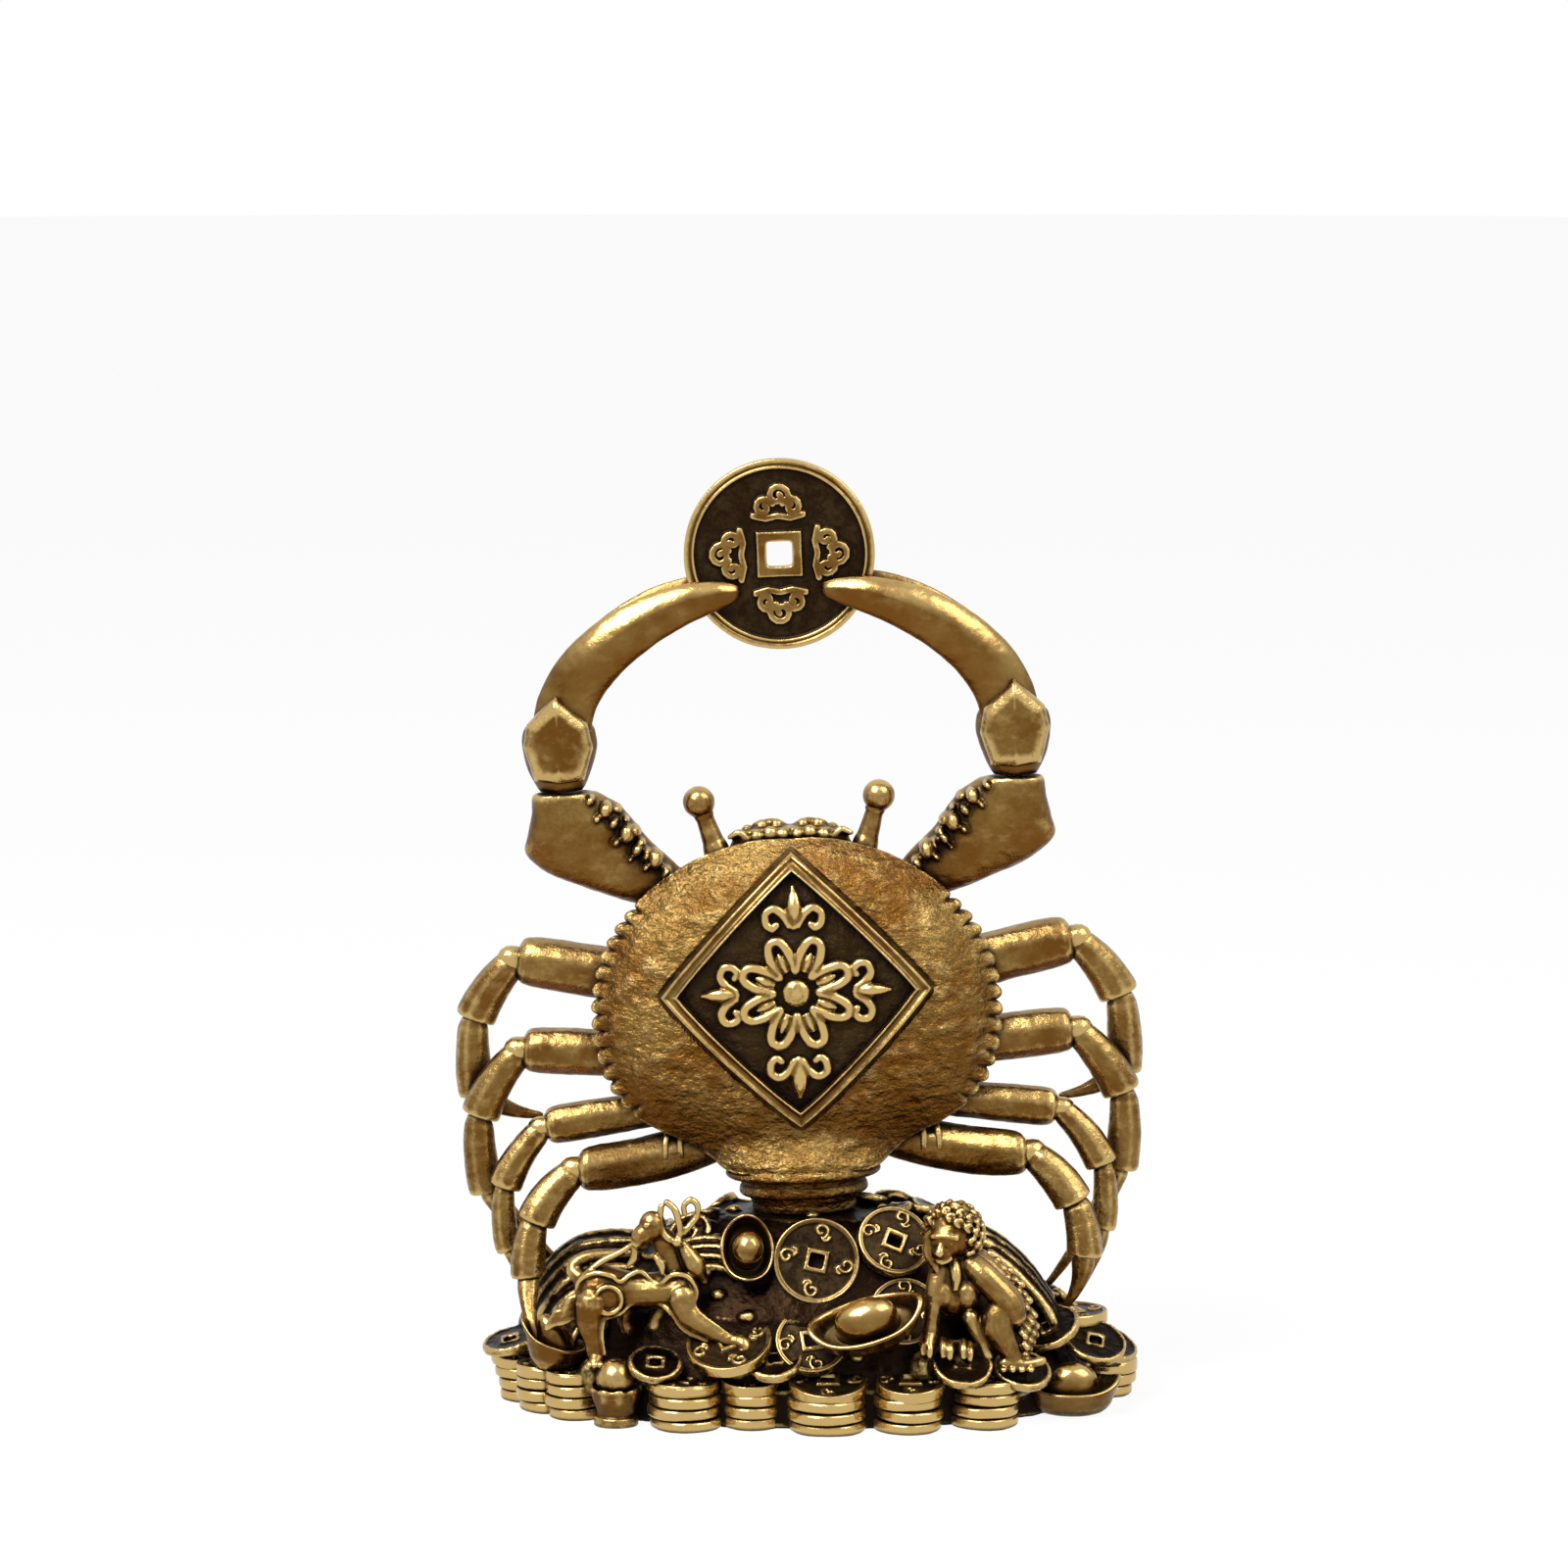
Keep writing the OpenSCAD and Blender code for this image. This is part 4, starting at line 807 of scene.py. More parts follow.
# flat coin centred on z = 0, with a square hole and a mark in each quarter; line scores it by the rim
def coinShell(
    r, thick, rim, sink, hole, border, strokes=(), markAt=0.0, around=150, radial=30, width=0.34, line=0.0,
    dirt=0.9
):
    a = fullTurn(around)
    inner = hole / 2 / (np.abs(np.cos(a)) ** 8 + np.abs(np.sin(a)) ** 8) ** 0.125
    marks = []
    for k in range(4):
        c, s = math.cos(math.pi / 2 * k), math.sin(math.pi / 2 * k)
        for stroke in strokes:
            q = stroke + (0, markAt)
            marks.append(np.column_stack([q[:, 0] * c - q[:, 1] * s, q[:, 0] * s + q[:, 1] * c]))

    def height(x, y, radius):
        field = smoothStep((r - rim - radius) / 0.22 + 0.5)
        box = np.maximum(np.abs(x), np.abs(y))
        field = field * smoothStep((box - hole / 2 - border) / 0.2 + 0.5)
        raised = strokeShare(x, y, marks, width, 0.2)
        top = thick / 2 - sink * field * (1 - 0.85 * raised)
        settled = dirt * field * (1 - raised)
        if line:
            score = np.exp(-(((radius - r + rim * 0.6) / 0.13) ** 2))
            top = top - line * score
            settled = np.maximum(settled, 0.7 * score)
        return top, settled

    face = []
    for s in np.linspace(0, 1, radial):
        radius = inner + (r - 0.12 - inner) * s
        x, y = radius * np.cos(a), radius * np.sin(a)
        face.append((x, y, *height(x, y, radius)))
    rings = [ringOf(x, y, z) for x, y, z, g in face]
    half = thick / 2
    for inset, z in ((0.05, half - 0.05), (0, half - 0.2), (0, 0.2 - half), (0.05, 0.05 - half)):
        rings.append(ovalRing(a, r - inset, r - inset, z))
    rings += [ringOf(x, y, -z) for x, y, z, g in reversed(face)]
    points, quads, tris, grime = hoop(rings)
    dirtOut = [g for x, y, z, g in face]
    grime[: around * radial] = np.concatenate(dirtOut)
    grime[-around * radial :] = np.concatenate(dirtOut[::-1])
    return points, quads, tris, grime


heldCoin = dict(
    radius=10, thick=2, rim=1.1, sink=0.42, hole=2.7, border=1.05, height=70, markSize=1.3, markAt=5.5
)


def buildHeldCoin():
    h = heldCoin
    disc = coinShell(
        h["radius"], h["thick"], h["rim"], h["sink"], h["hole"], h["border"], cloudStrokes(h["markSize"]),
        h["markAt"], 480, 84, width=0.36, line=0.12, dirt=0.95
    )
    upright = placed(disc, (0, 0, h["height"]), (90, 0, 0))
    cast("heldCoin", onCrab([upright]), "coinBrass", "shell_brass", "held_coin", 0.5, 14)


buildHeldCoin()

looseCoin = dict(thick=1.3, rim=0.5, sink=0.22, hole=1.6, border=0.4)
# place, tilt about x and y, and radius
leaningCoins = dict(
    upright_coin=((1.8, -10.2, 16.6), (70, 0), 4.5),
    tilted_coin=((9.9, -8.2, 18.2), (50, 18), 3.9),
    coin_behind_ingot=((11, -11.6, 11.4), (58, 4), 3.7),
    leaning_coin=((1.3, -14.2, 8.9), (50, 0), 3.8),
    paw_coin=((-7.3, -14.2, 8.6), (28, -8), 4.5),
    ledge_coin=((28.9, -1.2, 8.85), (0, 0), 3.9),
)

def looseShell(r, size=0.72):
    c = looseCoin
    return coinShell(
        r, c["thick"], c["rim"], c["sink"], c["hole"], c["border"],
        leafStrokes(size), (r + c["hole"] / 2) * 0.52 + 0.1, width=0.15, line=0.05, dirt=0.97
    )


def buildLooseCoins():
    for k, (name, (at, tilt, r)) in enumerate(leaningCoins.items()):
        coin = placed(looseShell(r), (0, 0, 0), (0, 0, 7 * k - 12))
        coin = placed(coin, at, (*tilt, 0))
        cast(pieceName("loose", name), [coin], "coinBrass", "coin_brass", name, 0.7, 20 + k)


# mound under the coins, with a seat for the screw beneath
mound = dict(rx=31.6, ry=17.2, centre=1.9, rim=3.6, peak=21.4, top=20.0, fullness=2.3,
             seatAcross=0.6, seatRadius=3.2, seatTop=3.1)


def moundHeight(x, y):
    m = mound
    rho = np.minimum(np.hypot((np.asarray(x) - m["centre"]) / m["rx"], np.asarray(y) / m["ry"]), 1)
    return np.minimum(m["top"], m["rim"] + (m["peak"] - m["rim"]) * (1 - rho ** m["fullness"]))


def moundTilt(x, y):
    h = 0.5
    gx = (moundHeight(x + h, y) - moundHeight(x - h, y)) / (2 * h)
    gy = (moundHeight(x, y + h) - moundHeight(x, y - h)) / (2 * h)
    n = np.array([-gx, -gy, 1.0])
    return n / np.linalg.norm(n)


def onMound(x, y, lift):
    x, y = np.asarray(x, float), np.asarray(y, float)
    return np.column_stack([x, y, moundHeight(x, y) + lift])


# turns a shell's z axis to the normal, with a spin about it first
def alongNormal(shell, at, normal, spin=0.0):
    z = np.asarray(normal, float)
    x = np.cross((0, 1, 0), z)
    x = x / np.linalg.norm(x)
    y = np.cross(z, x)
    frameOf = np.column_stack([x, y, z])
    spun = placed(shell, (0, 0, 0), (0, 0, spin))
    return moved(spun, lambda p: p @ frameOf.T + np.asarray(at, float))


slopePlaces = [(-18.8, 8.8), (-10.2, 11.6), (-1.6, 12), (7, 11.8), (15.8, 11), (23, 9.4)]
slopeRadius = 3.8


def buildSlopeCoins():
    shells = []
    for k, (x, y) in enumerate(slopePlaces):
        normal = moundTilt(x, y)
        at = np.array([x, y, float(moundHeight(x, y))]) + normal * 0.15
        shells.append(alongNormal(looseShell(slopeRadius, 0.55), at, normal, 17 * k))
    cast("slopeCoins", shells, "coinBrass", "coin_brass", "slope_coins", 0.7, 31)


buildLooseCoins()
buildSlopeCoins()

# stacks of coins round the rim: angle round the heap, radius, coins, inset, tilt of the loose top coin
stackRows = dict(
    front_left_stacks=[(186, 3.2, 3, 0, 12), (203, 3.3, 4, 0, 0), (215, 3.2, 4, 0, 0)],
    front_middle_stacks=[(243, 4, 4, 0, 0), (256, 3.5, 3, 2.6, 9)],
    front_centre_stack=[(272, 4.2, 3, 0, 15)],
    front_right_stacks=[(288, 3.7, 3, 0, 14), (305, 3.7, 4, 0, 0)],
    right_end_stacks=[(2, 3.3, 3, 0, 0), (18, 3.3, 4, 0, 0)],
    back_right_stacks=[(38, 3.6, 3, 0, 0), (52, 3.9, 4, 0, 0), (66, 3.7, 3, 0, 0)],
    back_middle_stacks=[(83, 4, 4, 0, 0), (98, 4, 3, 0, 0)],
    back_left_stacks=[(115, 3.9, 4, 0, 0), (129, 3.6, 3, 0, 0), (143, 3.8, 4, 0, 0), (160, 3.5, 3, 0, 0)],
)
stackCoin = dict(thick=1.25, wobble=0.22, halfW=34.9, halfD=20.5)
chance = np.random.RandomState(7)


def plainCoin(r, low, high, wobbleSeed):
    a = fullTurn(72)
    wear = 1 + 0.012 * np.sin(3 * a + wobbleSeed) + 0.009 * np.sin(5 * a + 2 * wobbleSeed)
    profile = [
        (0.02, low), (0.8, low), (0.94, low + 0.05), (0.985, low + 0.2), (1.0, low + 0.5),
        (0.995, high - 0.3), (0.975, high - 0.1), (0.94, high), (0.86, high - 0.02), (0.83, high - 0.14),
        (0.5, high - 0.16), (0.02, high - 0.16),
    ]
    return skin([ovalRing(a, k * r * wear, k * r * wear, z) for k, z in profile])


def stackShells(angle, r, coins, inset, tilt):
    s = stackCoin
    a = math.radians(angle)
    x = mound["centre"] + (s["halfW"] - r - inset) * math.cos(a)
    y = (s["halfD"] - r - inset) * math.sin(a)
    shells = []
    for k in range(coins):
        loose = min(k, 1)
        drift = chance.uniform(-s["wobble"], s["wobble"], 2) * loose
        low = k * s["thick"] + 0.02 * loose
        high = (k + 1) * s["thick"] - 0.06
        coin = plainCoin(r - 0.1 - chance.uniform(0, 0.12), low, high, chance.uniform(0, 6))
        inward = 0.97 + 0.015 * loose
        across = mound["centre"] + (x - mound["centre"]) * inward
        shells.append(placed(coin, (across + drift[0], y * inward + drift[1], 0)))
    top = coins * s["thick"]
    if tilt:
        lift = top + r * math.sin(math.radians(tilt)) / 2 + s["thick"] / 2
        shells.append(placed(looseShell(r - 0.1, 0.55), (x, y + 0.3, lift), (tilt, 0, 0)))
    else:
        cap = looseShell(r - 0.35, 0.5)
        shells.append(placed(cap, (x * 0.99, y * 0.985, top - s["thick"] / 2 + 0.02), (0, 0, angle)))
    return shells


def buildStacks():
    for number, (name, rows) in enumerate(stackRows.items()):
        shells = sum((stackShells(*row) for row in rows), [])
        cast(pieceName("coin", name), shells, "coinBrass", "coin_brass", name, 1.0, 40 + number)


buildStacks()
print("coins built")

# boat-shaped ingots: half length, half width and height, then place and turn
ingots = dict(
    big_ingot=((6.2, 3.5, 3.6), (7.6, -16, 9.6), (32, -16, 0)),
    right_ingot=((5.2, 3.2, 3.6), (28.6, -8.9, 0.3), (8, 0, 0)),
    left_ingot=((3.5, 2.9, 3.6), (-25.4, -8.8, 5.15), (6, -4, 0)),
    upper_ingot=((3.6, 2.85, 3.2), (-5.75, -8.6, 17), (0, -66, 98)),
)
# along, across and height shares, and how much the ends rise
boatRings = [
    (0.05, 0.05, 0, 0), (0.3, 0.3, 0, 0), (0.6, 0.6, 0.02, 0), (0.78, 0.78, 0.2, 0.03),
    (0.86, 0.86, 0.4, 0.1), (0.94, 0.94, 0.6, 0.2), (0.99, 0.99, 0.7, 0.28), (1, 1, 0.76, 0.3),
    (0.97, 0.95, 0.8, 0.3), (0.92, 0.88, 0.78, 0.3), (0.86, 0.8, 0.68, 0.22), (0.76, 0.72, 0.52, 0.06),
    (0.6, 0.64, 0.46, 0), (0.55, 0.62, 0.5, 0), (0.55, 0.62, 0.72, 0), (0.53, 0.6, 0.95, 0),
    (0.47, 0.52, 1.18, 0), (0.34, 0.38, 1.36, 0), (0.17, 0.19, 1.46, 0), (0.03, 0.03, 1.48, 0),
]


def buildIngots():
    a = fullTurn(96)
    for number, (name, (g, at, turn)) in enumerate(ingots.items()):
        rings = []
        for along, across, up, ends in curveThrough(boatRings, 76):
            z = g[2] * (up + ends * np.cos(a) ** 4)
            if name == "left_ingot":
                z = z - 0.5 * along * np.cos(a) * z
            rings.append(ovalRing(a, g[0] * along, g[1] * across, z))
        boat = placed(skin(rings), at, turn)
        cast(pieceName("boat", name), [boat], "boatBrass", "bright_brass", name, 0.8, 55 + number)


buildIngots()

pearlSpot = dict(foot=(-19.14, -13.69), radius=1.75, fuller=1.2, bowlRadius=2.3, bowlTop=4.6, leaves=9)
# share of the bowl's radius, height, and how much the leaves part
bowlProfile = [
    (0.05, 0.02, 0), (0.9, 0.02, 0), (1.0, 0.25, 0), (1.0, 0.8, 0), (0.95, 1.0, 0), (0.84, 1.15, 0),
    (0.86, 1.6, 0), (0.98, 2.3, 0.2), (1.1, 3.0, 0.5), (1.17, 3.6, 0.8), (1.2, 4.0, 0.8), (1.12, 4.15, 0.6),
    (0.95, 3.9, 0.2), (0.75, 3.5, 0), (0.3, 3.2, 0), (0.05, 3.2, 0),
]


def buildPearl():
    p = pearlSpot
    centre = (*p["foot"], p["bowlTop"] + p["radius"] * 0.2)
    ball = lump(centre, p["radius"] * p["fuller"], around=64)
    cast("pearlBall", [ball], "brightBrass", "bright_brass", "pearl", 0.7, 61)
    a = fullTurn(120)
    leaves = 0.5 + 0.5 * np.cos(a * p["leaves"])
    rings = []
    for k, z, leaf in curveThrough(bowlProfile, 60):
        r = p["bowlRadius"] * k * (1 - 0.07 * leaf * (1 - leaves))
        rings.append(ovalRing(a, r, r, z - 0.3 * leaf * (1 - leaves) * (1 if z > 3.2 else 0)))
    bowl = placed(skin(rings), (*p["foot"], 0))
    cast("leafBowl", [bowl], "coinBrass", "coin_brass", "pearl_bowl", 0.8, 62)


buildPearl()
# heap casting: the mound with half-sunk coins, pebbles, ribs and leaf ridges
heapDetail = dict(
    coins=110, pebbles=50, voxel=0.22, reachX=30, pebblesX=29.6, reachY=15.8,
    clear=[(0.6, 0, 6.4), (-17, -10.8, 4.5), (16.9, -12.3, 4.5)],
    # thickness, rim, sink, hole and border of the coins in it
    sunkCoin=(0.9, 0.4, 0.18, 1.1, 0.3), rimCoin=(1.0, 0.45, 0.2, 1.3, 0.35),
    # centre, half width and half height
    lumps=[
        (-21.4, -11.6, 4.6, 1.7, 2.1), (-6.5, -13.0, 5.6, 2.6, 1.8), (13.2, -15.2, 6.4, 1.8, 1.9),
        (16.6, -15.0, 6.0, 2.2, 2.0), (22.6, -13.4, 4.6, 2.2, 1.7),
    ],
    # across, depth and lift of a ridge's points, then count, spread and radius
    fans=[
        ((-23.6, -24.6, -25.6, -26.4), (-6, -7.0, -7.8, -8.2), (1.0, 1.3, 1.0, 0.4), 3, 0.95, 0.42),
        ((-14, -11, -8.5, -7), (-6.5, -7.4, -8.2, -8.8), (0.4, 0.8, 0.8, 0.3), 4, 1.0, 0.45),
        ((19.5, 22.4, 25, 27.2), (-3.5, -4.0, -4.6, -5.4), (1.6, 1.9, 1.6, 0.8), 4, 1.2, 0.55),
        ((27, 29, 31, 32.6), (4.0, 3.6, 3.0, 2.2), (0.6, 0.8, 0.8, 0.3), 4, 1.2, 0.5),
    ],
    # centre, radius and tilt
    rimCoins=[
        (26.4, -6.6, 8.6, 3.3, 24, -22), (31.2, -6.0, 7.0, 3.4, 26, 12), (33.0, -3.4, 6.2, 3.0, 18, 22),
        (16.9, -16.0, 6.9, 3.2, 34, 6), (23.2, -13.2, 5.6, 3.1, 24, 10), (-2.6, -15.4, 7.2, 3.0, 30, -6),
        (-15.0, -14.6, 6.6, 2.8, 26, 4), (-30.6, -3.0, 6.4, 3.0, 10, -14),
    ],
    ledge=[(-28.2, 0.6, 7.5), (-26.4, 0.8, 11.0), (-23.2, 0.8, 13.4), (-19.0, 0.6, 14.4), (-14.5, 0, 15.0)],
    ledgeThick=(1.8, 1.9, 2.3, 2.6, 2.6), ribs=6, ribThick=(0.45, 0.85, 0.95, 0.85, 0.4),
)


def ridgeFan(xs, ys, lifts, count, spread, radius):
    shells = []
    for k in range(count):
        s = (k - (count - 1) / 2) * spread
        x = np.asarray(xs, float) + s * 0.35
        y = np.asarray(ys, float) - s
        shells.append(rod(onMound(x, y, np.asarray(lifts)), radius, around=12, count=26))
    return shells


# height of the bank that the coins sit in: the mound, kept low behind the stacks
def bankHeight(x, y):
    m = mound
    rho = np.hypot((np.asarray(x, float) - m["centre"]) / m["rx"], np.asarray(y, float) / m["ry"])
    return np.minimum(moundHeight(x, y), np.interp(rho, [0, 0.78, 0.86, 0.93], [30, 10.9, 6.6, 4.0]))


def bankSkin():
    m = mound
    a = fullTurn(220)
    rings = []
    for rho in np.linspace(0.02, 0.935, 60):
        x = m["centre"] + m["rx"] * rho * np.cos(a)
        y = m["ry"] * rho * np.sin(a)
        rings.append(ringOf(x, y, bankHeight(x, y)))
    rings.append(ovalRing(a, m["rx"] * 0.94, m["ry"] * 0.94, 0.05, m["centre"]))
    for r, z in ((m["seatRadius"], 0.05), (m["seatRadius"], m["seatTop"]), (0.05, m["seatTop"])):
        rings.append(ovalRing(a, r, r, z, m["seatAcross"]))
    return skin(rings)


def scatteredCoins():
    d = heapDetail
    busy = [(at[0], at[1], r + 0.5) for at, tilt, r in leaningCoins.values()]
    busy += [(x, y, 4.2) for x, y in slopePlaces]
    busy += [(at[0], at[1], g[0]) for g, at, turn in ingots.values()]
    busy += d["clear"]
    shells = []
    made = 0
    while made < d["coins"]:
        a = chance.uniform(0, 2 * math.pi)
        k = math.sqrt(chance.uniform(0.08, 0.9))
        x, y = mound["centre"] + d["reachX"] * k * math.cos(a), d["reachY"] * k * math.sin(a)
        r = chance.uniform(2.3, 3.2)
        if any(math.hypot(x - bx, y - by) < br + r * 0.35 for bx, by, br in busy):
            made += 0.34
            continue
        busy.append((x, y, r * 0.5))
        lean = unitRows(moundTilt(x, y) + chance.uniform(-0.35, 0.35, 3))
        coin = coinShell(r, *d["sunkCoin"], around=48, radial=12)
        shells.append(alongNormal(coin, (x, y, float(bankHeight(x, y)) + 0.1), lean, chance.uniform(0, 90)))
        made += 1
    return shells


def pebbles():
    d = heapDetail
    shells = []
    for k in range(d["pebbles"]):
        a = chance.uniform(0, 2 * math.pi)
        t = math.sqrt(chance.uniform(0.05, 0.98))
        x, y = mound["centre"] + d["pebblesX"] * t * math.cos(a), d["reachY"] * t * math.sin(a)
        r = chance.uniform(0.4, 0.8)
        shells.append(lump((x, y, float(bankHeight(x, y)) + 0.1), (r, r, r * 0.8), around=12))
    return shells


# ledge on the left with ribs that fall over it
def ribbedLedge():
    d = heapDetail
    shells = [rod(d["ledge"], d["ledgeThick"], around=26, count=60)]
    for k in range(d["ribs"]):
        y = 0.6 - 1.15 * k
        drop = 0.35 * k + 0.2 * k * k
        shells.append(rod([
            (-28.8 + 0.35 * k, y + 0.6, 9.6 - 0.5 * k), (-27.2 + 0.2 * k, y, 12.8 - drop),
            (-24.0, y - 0.2, 15.9 - drop), (-20.2 - 0.1 * k, y - 0.3, 17.0 - drop),
            (-16.6 - 0.3 * k, y - 0.3, 17.2 - drop),
        ], d["ribThick"], around=14, count=50))
    return shells


def buildHeap():
    d = heapDetail
    shells = [bankSkin()] + scatteredCoins() + pebbles() + ribbedLedge()
    shells += [lump((x, y, z), (wide, wide * 0.9, high)) for x, y, z, wide, high in d["lumps"]]
    for fan in d["fans"]:
        shells += ridgeFan(*fan)
    for x, y, z, r, *tilt in d["rimCoins"]:
        coin = coinShell(r, *d["rimCoin"], around=60, radial=14)
        shells.append(placed(coin, (x, y, z), (*tilt, 0)))
    cast("heapCasting", shells, "heapBrass", "heap_brass", "heap_mound", 2.0, 70, d["voxel"])


buildHeap()
print("heap built")


# beasts on the heap
beastVoxel = 0.13


def slim(points, thick, count=None):
    return rod(points, thick, around=12, count=count)


def ringLoop(centre, radius, normal, thick):
    a = np.linspace(0, 2 * math.pi, 15)
    z = np.asarray(normal, float) / np.linalg.norm(normal)
    x = np.cross((0, 0, 1), z)
    x = x / np.linalg.norm(x)
    y = np.cross(z, x)
    flat = ovalRing(a, radius, radius, 0)
    return slim(flat @ np.column_stack([x, y, z]).T + np.asarray(centre), thick, 44)


def hornedBody():
    return [
        lump((-21.0, -11.2, 13.3), (2.5, 1.9, 2.5)),
        lump((-20.0, -12.5, 13.1), (1.45, 0.75, 1.45)),
        ringLoop((-19.9, -13.15, 13.1), 1.4, (0.1, -1, 0.1), 0.27),
        rod([(-21.7, -12.0, 12.4), (-21.9, -12.2, 10.6), (-21.4, -12.3, 8.8), (-21.1, -12.4, 7.1)],
            [1.95, 1.5, 1.15, 1.1]),
        rod([(-21.1, -12.4, 7.1), (-21.3, -13.3, 6.5)], [1.0, 0.8]),
        rod([(-20.4, -12.9, 11.2), (-20.6, -13.2, 9.4), (-20.3, -13.3, 7.4)], [0.25, 0.3, 0.26], around=10),
        rod([(-21.0, -10.6, 13.9), (-17.0, -10.8, 13.6), (-12.5, -11.3, 13.9)], [2.5, 1.95, 2.0]),
        slim([(-23.2, -12.0, 13.4), (-22.9, -12.2, 14.9), (-21.4, -12.5, 15.8), (-19.6, -12.7, 15.6),
              (-18.7, -12.5, 14.9), (-17.6, -12.2, 15.6), (-16.5, -12.0, 15.9), (-15.4, -12.2, 15.0),
              (-14.5, -12.6, 14.7), (-13.2, -13.1, 15.8), (-11.6, -13.2, 15.6), (-10.7, -13.1, 14.1),
              (-10.9, -13.3, 12.6), (-10.2, -13.7, 11.6), (-8.6, -14.1, 10.5), (-7.0, -14.7, 9.5)], 0.3, 150),
        slim([(-20.0, -12.9, 11.2), (-18.6, -12.5, 11.6), (-17.4, -12.2, 12.5), (-14.8, -12.3, 12.6),
              (-13.3, -13.0, 11.6), (-12.0, -13.4, 10.0), (-9.6, -14.0, 8.9)], 0.27, 70),
        lump((-12.2, -11.7, 14.0), (1.9, 1.45, 2.0)),
        rod([(-12.2, -12.2, 13.2), (-11.4, -12.8, 11.3), (-9.1, -13.5, 9.9), (-6.9, -14.2, 8.9)],
            [1.8, 1.4, 1.1, 0.95]),
        rod([(-6.9, -14.2, 8.9), (-6.0, -14.8, 8.9), (-5.7, -15.3, 8.3), (-6.4, -15.5, 7.9)],
            [0.95, 0.85, 0.65, 0.45]),
        rod([(-17.9, -9.6, 12.1), (-18.3, -9.4, 10.3), (-18.1, -9.2, 9.1)], [1.1, 0.8, 0.8]),
        rod([(-13.7, -9.8, 12.7), (-14.8, -9.8, 10.8), (-15.2, -9.8, 9.6)], [1.1, 0.8, 0.8]),
        rod([(-12.7, -11.0, 14.9), (-13.5, -11.2, 17.3), (-14.3, -11.7, 19.4)], [1.75, 1.45, 1.25]),
        rod([(-12.2, -12.2, 18.8), (-10.9, -12.5, 16.8), (-10.0, -12.0, 15.0)], [0.55, 1.1, 0.55]),
        rod([(-15.0, -12.3, 17.6), (-14.4, -12.5, 16.8), (-14.2, -12.6, 15.9)], [0.35, 0.5, 0.3]),
    ]


# head, snout, eye, horns and ear, then the strand from the mouth to the haunch, and the tail
def hornedHead():
    return [
        lump((-15.3, -12.2, 20.8), (1.45, 1.4, 1.6)),
        rod([(-15.3, -12.4, 20.5), (-16.4, -12.8, 19.9), (-16.9, -12.9, 19.2)], [1.25, 1.05, 0.7]),
        lump((-15.9, -13.4, 21.1), 0.36),
        slim([(-14.4, -12.6, 22.9), (-14.5, -12.8, 21.4), (-14.0, -13.0, 20.0), (-13.0, -13.1, 19.4),
              (-12.4, -13.0, 20.2), (-12.6, -12.9, 21.6), (-13.0, -12.8, 22.7), (-13.8, -12.7, 23.4)],
             0.36, 70),
        slim([(-12.6, -13.0, 19.9), (-11.6, -12.8, 20.7), (-10.7, -12.6, 21.9), (-10.6, -12.5, 23.0),
              (-11.3, -12.5, 23.6), (-12.0, -12.6, 23.0), (-11.9, -12.7, 22.1)],
             [0.34, 0.38, 0.36, 0.34, 0.34, 0.3, 0.26], 60),
        lump((-12.7, -13.2, 19.3), 0.55),
        slim([(-16.2, -11.9, 19.7), (-18.3, -11.7, 18.1), (-20.6, -11.7, 16.9), (-22.4, -12.0, 15.4)],
             [0.3, 0.32, 0.34, 0.4]),
        slim([(-17.3, -11.9, 18.7), (-17.2, -11.8, 17.4), (-17.9, -11.7, 16.4)], [0.3, 0.45, 0.2]),
        rod([(-22.6, -10.6, 14.6), (-23.6, -9.9, 15.6), (-23.0, -9.5, 16.5), (-21.2, -9.2, 17.0),
             (-18.6, -8.9, 17.2)], [0.9, 0.8, 0.75, 0.65, 0.35]),
    ]


def buildHornedBeast():
    s = hornedBody() + hornedHead()
    for k in range(3):
        s.append(lump((-5.6 - 0.5 * k, -15.6, 7.75 + 0.1 * k), (0.36, 0.5, 0.36)))
        s.append(lump((-21.9 + 0.6 * k, -13.8, 6.4), (0.38, 0.55, 0.4)))
    for k in range(4):
        s.append(slim([
            (-22.6, -11.9, 13.3 - 0.6 * k), (-23.8 - 0.3 * k, -12.1, 13.0 - 0.8 * k),
            (-24.4 - 0.35 * k, -12.1, 11.8 - 0.45 * k), (-25.4 - 0.3 * k, -11.9, 11.4 - 0.5 * k),
            (-25.9 - 0.1 * k, -11.7, 10.3 - 0.2 * k),
        ], [0.42, 0.46, 0.4, 0.38, 0.2], 36))
    cast("hornedBeast", s, "beastBrass", "bright_brass", "left_beast", 0.9, 80, beastVoxel)


rightBeast = dict(
    head=np.array((16.0, -12.9, 20.3)), face=unitRows(np.array((-0.42, -0.82, -0.38))), hair=90,
    goldenAngle=2.39996, wingRows=4, wingPoints=15,
    wingLine=[
        (18.3, -10.9, 17.6), (20.9, -11.2, 16.4), (23.0, -11.9, 14.2), (24.2, -12.5, 11.4), (24.6, -12.8, 9.4)
    ],
    toes=[
        (12.8, -16.4, 8.8), (13.5, -16.7, 8.6), (14.9, -16.4, 8.5), (15.6, -16.5, 8.3), (17.0, -16.2, 8.3),
        (17.7, -16.1, 8.0),
    ],
)


# point out of the head's middle along its face, then moved
def faceAt(out, *move):
    return rightBeast["head"] + rightBeast["face"] * out + move


